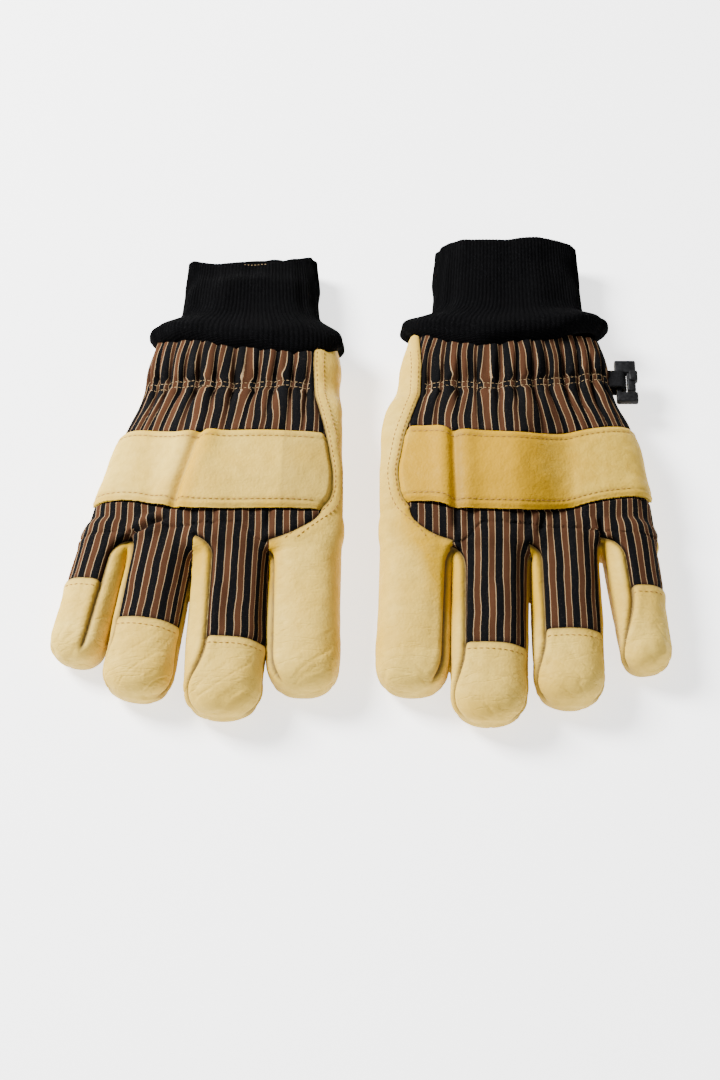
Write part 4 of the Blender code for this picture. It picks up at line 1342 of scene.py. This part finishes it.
def add_cuff(glove):
    """The ribbed knit cuff: a tube that bulges over the hand, draws in and opens softly at its mouth."""
    low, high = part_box(glove.name + "_knit_cuff")
    y_low, y_high = (1000 * (corner[1] - glove.knuckle_y) for corner in (low, high))
    spec = glove.spec["cuff"]
    (centre_low, half_low), (centre_end, half_end) = spec["low"], spec["mouth"]
    steps = 6
    columns = steps * round(2 * (2 * half_end + 26) / RIB)
    turn = np.radians(np.linspace(0, 360, columns, endpoint=False))
    c, q = np.cos(turn), np.sin(turn)
    reach = (np.abs(c) ** CUFF_ROUNDNESS + np.abs(q) ** CUFF_ROUNDNESS) ** (-1 / CUFF_ROUNDNESS)
    c, q = c * reach, q * reach
    rib = np.abs(np.sin(np.pi * np.arange(columns) / steps))
    dip, lean, rise_up = cuff_ends(glove, c, q)
    rows = cuff_rows()
    places, along = [], []
    for share, depth in rows:
        draw, top, bottom = (soft_table(CUFF_PROFILE, share, k, 0.022) for k in (1, 2, 3))
        half = mix(half_low, half_end, draw) - depth
        middle, rise = (top + bottom) / 2, max((top - bottom) / 2 - depth, 1.0)
        x = mix(centre_low, centre_end, draw) + half * c
        y = mix(y_low, y_high, share) + dip * (1 - smooth(share, 0, 0.42)) + lean * smooth(share, 0.55, 1.0)
        z = middle + rise * q + rise_up * smooth(share, 0.6, 1.0)
        lumps = 1.1 * noise(np.column_stack((c * 30, q * 30, 0 * c + share * 62)), 15, 71)
        lumps *= smooth(share, 0, 0.1)
        lumps += 0.8 * noise(np.column_stack((c * 39, q * 39, 0 * c + share * 18)), 8, 72)
        knit = (0.34 if depth < 0.1 else 0.15) * rib
        out = unit(np.column_stack((c / half, 0 * c, q / rise)))
        lumps *= 1 if depth < CUFF_WALL else 0.3
        spot = np.column_stack((x, y, z)) + out * (lumps + knit)[:, None]
        spot[:, 2] = np.maximum(spot[:, 2], 0.1 + depth * 0.8)
        places.append(spot)
        along.append(y)
    index = np.arange(len(rows) - 1)[:, None] * columns + np.arange(columns)
    ahead = np.roll(index, -1, axis=1)
    faces = np.stack((index, index + columns, ahead + columns, ahead), axis=-1).reshape(-1, 4)
    if glove.side < 0:
        faces = faces[:, ::-1]
    across = np.tile(np.arange(columns) * RIB / steps, len(rows))
    cuff = add_mesh(glove.name + "_cuff", glove.to_world(np.vstack(places)), faces, "black_knit",
                    across=across, along=np.concatenate(along))
    wear(cuff, glove.name + "_hand", glove.name + "_knit_cuff")
    if spec["tacks"]:
        start, end, y = spec["tacks"]
        path = np.column_stack((np.linspace(start, end, 20), np.full(20, y)))
        row = stitches(cuff, path, glove.to_world, length=0.9, radius=0.13, pitch=1.7, seed=31)
        sew(glove.name + "_mouth_thread", glove.name + "_hand", "pale_thread", [row])


def run_along(path):
    """The distance from the path's start to each of its points."""
    return np.concatenate(([0], np.cumsum(np.linalg.norm(np.diff(path, axis=0), axis=1))))


def resample(path, pitch):
    path = np.asarray(path, float)
    run = run_along(path)
    marks = np.arange(pitch / 2, run[-1], pitch)
    return np.column_stack([np.interp(marks, run, path[:, k]) for k in range(path.shape[1])])


def stitches(piece, path, to_world, length=1.9, radius=0.3, pitch=STITCH_PITCH, seed=1):
    """A row of small thread ovals along a path in plan, laid on the piece below it.

    Returns the ovals' points and faces, in the row frame.
    """
    mesh = piece.data
    tree = BVHTree.FromPolygons([v.co for v in mesh.vertices], [f.vertices for f in mesh.polygons])
    above = to_world(np.insert(resample(path, 0.9), 2, 60.0, axis=1))
    found = [tree.ray_cast(Vector(spot), Vector((0, 0, -1))) for spot in above]
    hits = np.array([(*hit[0], *hit[1]) for hit in found if hit[0] is not None])
    run = run_along(hits[:, :3]) * 1000
    marks = np.arange(pitch / 2, run[-1], pitch)
    middle, ahead, normal = (
        np.column_stack([np.interp(marks + further, run, hits[:, first + k]) for k in range(3)])
        for first, further in ((0, 0), (0, 0.5), (3, 0))
    )
    along, up = unit(ahead - middle), unit(normal)
    side = unit(np.cross(along, up))
    skew = 0.16 * noise(np.column_stack((marks, marks * 0 + seed, marks * 0)), 2.0, seed)
    along = along + side * skew[:, None]
    rings, around = 5, 6
    points = []
    for turn in math.pi * (np.arange(rings) + 0.5) / rings:
        wide = math.sin(turn) * radius / 1000
        for spin in 2 * math.pi * np.arange(around) / around:
            points.append(middle - along * math.cos(turn) * length / 2000
                          + side * math.cos(spin) * wide + up * (math.sin(spin) * wide + STITCH_LIFT))
    last = (rings - 1) * around
    oval = []
    for i in range(0, last, around):
        for j in range(around):
            k = (j + 1) % around
            oval.append((i + j, i + k, i + around + k, i + around + j))
    for end in ((0, 3, 2, 1), (0, 5, 4, 3)):
        oval.append(end)
        oval.append(tuple(last + v for v in reversed(end)))
    faces = (np.arange(len(middle))[:, None, None] * rings * around + np.array(oval)).reshape(-1, 4)
    return np.stack(points, axis=1).reshape(-1, 3), faces


def sew(name, body, material, rows):
    """One piece of thread from several rows of stitches, on one body."""
    starts = np.cumsum([0] + [len(points) for points, _ in rows])
    faces = [row[1] + start for row, start in zip(rows, starts)]
    piece = add_mesh(name, np.vstack([points for points, _ in rows]), np.vstack(faces), material)
    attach(piece, body)


def sew_hand(glove, palm, cloth, strap):
    """The strap's two edges, the palm seam's double row and the elastic's two rows."""
    body = glove.name + "_hand"
    xs = np.linspace(-4, -118, 160)
    low, high = glove.strap_edges(xs)
    turn_low = glove.hand_angle(np.column_stack((xs, low, np.full(160, 60.0))))
    inside = (xs < glove.palm_x(low) - 1.5) & (turn_low < 150)
    rows = []
    for ys, seed in ((low + 3.5, 1), (high - 3.5, 2)):
        path = np.column_stack((xs, ys))[inside]
        rows.append(stitches(strap, path, glove.to_world, radius=0.24, seed=seed))
    ys = np.linspace(-8, 104, 130)
    xs = glove.palm_x(ys)
    slope = np.gradient(xs, ys)
    size = np.hypot(1, slope)
    for offset, seed in ((1.3, 3), (4.6, 4)):
        path = np.column_stack((xs + offset / size, ys - offset * slope / size))
        rows.append(stitches(palm, path, glove.to_world, length=1.7, radius=0.26, seed=seed))
    sew(glove.name + "_leather_thread", body, "tan_thread", rows)
    xs = np.linspace(-10, -116, 200)
    across = glove.hand_across(np.column_stack((xs, np.full(200, ELASTIC_Y), np.full(200, 25.0))))
    centre, half = glove.across(ELASTIC_Y)
    rows = []
    for offset in ELASTIC_ROWS:
        ys = glove.elastic_y(across) + offset
        path = np.column_stack((xs, ys))[(xs < glove.palm_x(ys) - 1) & (xs > centre - half + 2)]
        seed = int(offset + 9)
        rows.append(stitches(cloth, path, glove.to_world, length=1.5, radius=0.13, pitch=2.1, seed=seed))
    sew(glove.name + "_elastic_thread", body, "pale_thread", rows)


def sew_cap(glove, finger, cap):
    """The row of stitches below the finger's cap seam."""
    sideways = np.linspace(finger.halves[1], -finger.halves[1], 40)
    s = np.full(40, finger.cap + 3.6)
    path = finger.base + s[:, None] * finger.along + sideways[:, None] * finger.across
    row = stitches(cap, path, glove.to_world, length=1.8, radius=0.24, seed=finger.cap)
    name = f"{glove.name}_{finger.name}"
    sew(name + "_cap_thread", name + "_finger", "tan_thread", [row])


def add_blocks(name, blocks, material, rounding):
    """Rounded blocks between pairs of corners, as one piece."""
    whole = bmesh.new()
    for low, high in blocks:
        form = bmesh.new()
        bmesh.ops.create_cube(form, size=1)
        size = Vector(high) - Vector(low)
        for vertex in form.verts:
            vertex.co = Vector(low) + Vector((vertex.co[k] + 0.5) * size[k] for k in range(3))
        bmesh.ops.bevel(form, geom=form.edges[:], offset=rounding, segments=3, affect="EDGES", profile=0.5)
        part = bpy.data.meshes.new("block")
        form.to_mesh(part)
        form.free()
        whole.from_mesh(part)
        bpy.data.meshes.remove(part)
    mesh = bpy.data.meshes.new(name)
    whole.to_mesh(mesh)
    whole.free()
    mesh.shade_smooth()
    mesh.materials.append(MATERIALS[material])
    return add_object(name, mesh)


def add_clip():
    """The webbing tab on the left glove's little-finger side, and the plastic hook it holds."""
    low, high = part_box("left_clip_hook")
    bar, rim, gate = 0.0026, 0.0042, 0.0010
    z0, z1 = low[2], high[2]
    head, foot = high[1] - 0.0072, low[1] + 0.0056
    blocks = (
        ((low[0], low[1], z0 + 0.0002), (low[0] + bar, high[1], z1 - 0.0002)),
        ((high[0] - rim, foot + gate, z0), (high[0], high[1], z1)),
        ((low[0], low[1], z0), (high[0] + 0.0008, foot, z1 + 0.0004)),
        ((low[0] - 0.0004, head, z0), (high[0] + 0.0002, high[1], z1 + 0.0008)),
        ((high[0] - rim + 0.0010, head - 0.0045, z0), (high[0] + 0.0010, head + 0.0012, z1 + 0.0010)),
    )
    wear(add_blocks("left_hook", blocks, "black_plastic", 0.0008), "left_clip", "left_clip_hook")
    low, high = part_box("left_clip_tab")
    half_wall, ridge, ridge_pitch = 0.0006, 0.00008, 0.0015
    middle, radius = (low[2] + high[2]) / 2, (high[2] - low[2]) / 2
    loop_x, radius = high[0] - radius, radius - half_wall
    path = [(low[0] - 0.004, middle + radius)]
    for turn in np.linspace(0, math.pi, 17):
        path.append((loop_x + radius * math.sin(turn), middle + radius * math.cos(turn)))
    path = resample(path + [(low[0] - 0.004, middle - radius)], 0.0004)
    ends = np.gradient(path, axis=0)
    out = unit(np.column_stack((ends[:, 1], -ends[:, 0])))
    widths = np.linspace(low[1], high[1], 19)
    ridges = ridge * np.cos((widths - low[1]) * 2 * math.pi / ridge_pitch)
    points, rows, count = [], len(path), len(widths)
    for layer in (half_wall, -half_wall):
        for (x, z), (ox, oz) in zip(path, out):
            lift = layer + ridges
            points.append(np.column_stack((x - ox * lift, widths, z - oz * lift)))
    faces = []
    for i in range(rows - 1):
        for layer in (0, 1):
            for j in range(count - 1):
                a = (layer * rows + i) * count + j
                quad = (a, a + 1, a + count + 1, a + count)
                faces.append(quad if layer else quad[::-1])
        for j in (0, count - 1):
            a, b = i * count + j, (rows + i) * count + j
            quad = (a, a + count, b + count, b)
            faces.append(quad if j else quad[::-1])
    tab = add_mesh("left_webbing", np.vstack(points), faces, "black_webbing")
    wear(tab, "left_hand", "left_clip_tab")


# ---------------------------------------------------------------- the studio


def add_light(name, place, size, power):
    """A soft rectangular light that faces the gloves."""
    lamp = bpy.data.lights.new(name, "AREA")
    lamp.shape = "RECTANGLE"
    lamp.size, lamp.size_y = size
    lamp.energy = power
    light = add_object(name, lamp)
    light.location = place
    light.rotation_euler = (-Vector(place)).to_track_quat("-Z", "Y").to_euler()


def studio():
    """A pale table, soft light from the upper left, and the camera in front and above."""
    form = bpy.data.meshes.new("floor")
    corners = [(x, y, -0.0001) for x, y in ((-6, -6), (6, -6), (6, 6), (-6, 6))]
    form.from_pydata(corners, [], [(0, 1, 2, 3)])
    form.materials.append(floor_paper())
    floor = add_object("floor", form)
    world = bpy.data.worlds.new("studio")
    world.use_nodes = True
    world.node_tree.nodes["Background"].inputs[0].default_value = (1, 1, 1, 1)
    world.node_tree.nodes["Background"].inputs[1].default_value = 0.38
    bpy.context.scene.world = world
    add_light("key", (-1.25, 0.6, 1.2), (0.7, 0.7), 136)
    add_light("front", (0.5, -1.2, 1.2), (1.2, 0.8), 7)
    camera_data = bpy.data.cameras.new("camera")
    camera_data.lens = 98
    camera_data.sensor_width = 36
    camera_data.sensor_fit = "AUTO"
    camera = add_object("camera", camera_data)
    target, distance, tilt = Vector((-0.0007, -0.02915, 0)), 1.37, math.radians(56)
    camera.location = target + distance * Vector((0, -math.cos(tilt), math.sin(tilt)))
    camera.rotation_euler = (target - camera.location).to_track_quat("-Z", "Y").to_euler()
    bpy.context.scene.camera = camera


def add_glove(name):
    glove = Glove(name)
    skin = grow_skin(glove)
    palm, cloth, strap = hand_panels(glove, skin)
    for k in range(4):
        finger_panels(glove, skin, k)
    sew_hand(glove, palm, cloth, strap)
    add_thumb(glove)
    add_cuff(glove)


for glove_name in GLOVES:
    add_glove(glove_name)
add_clip()
studio()
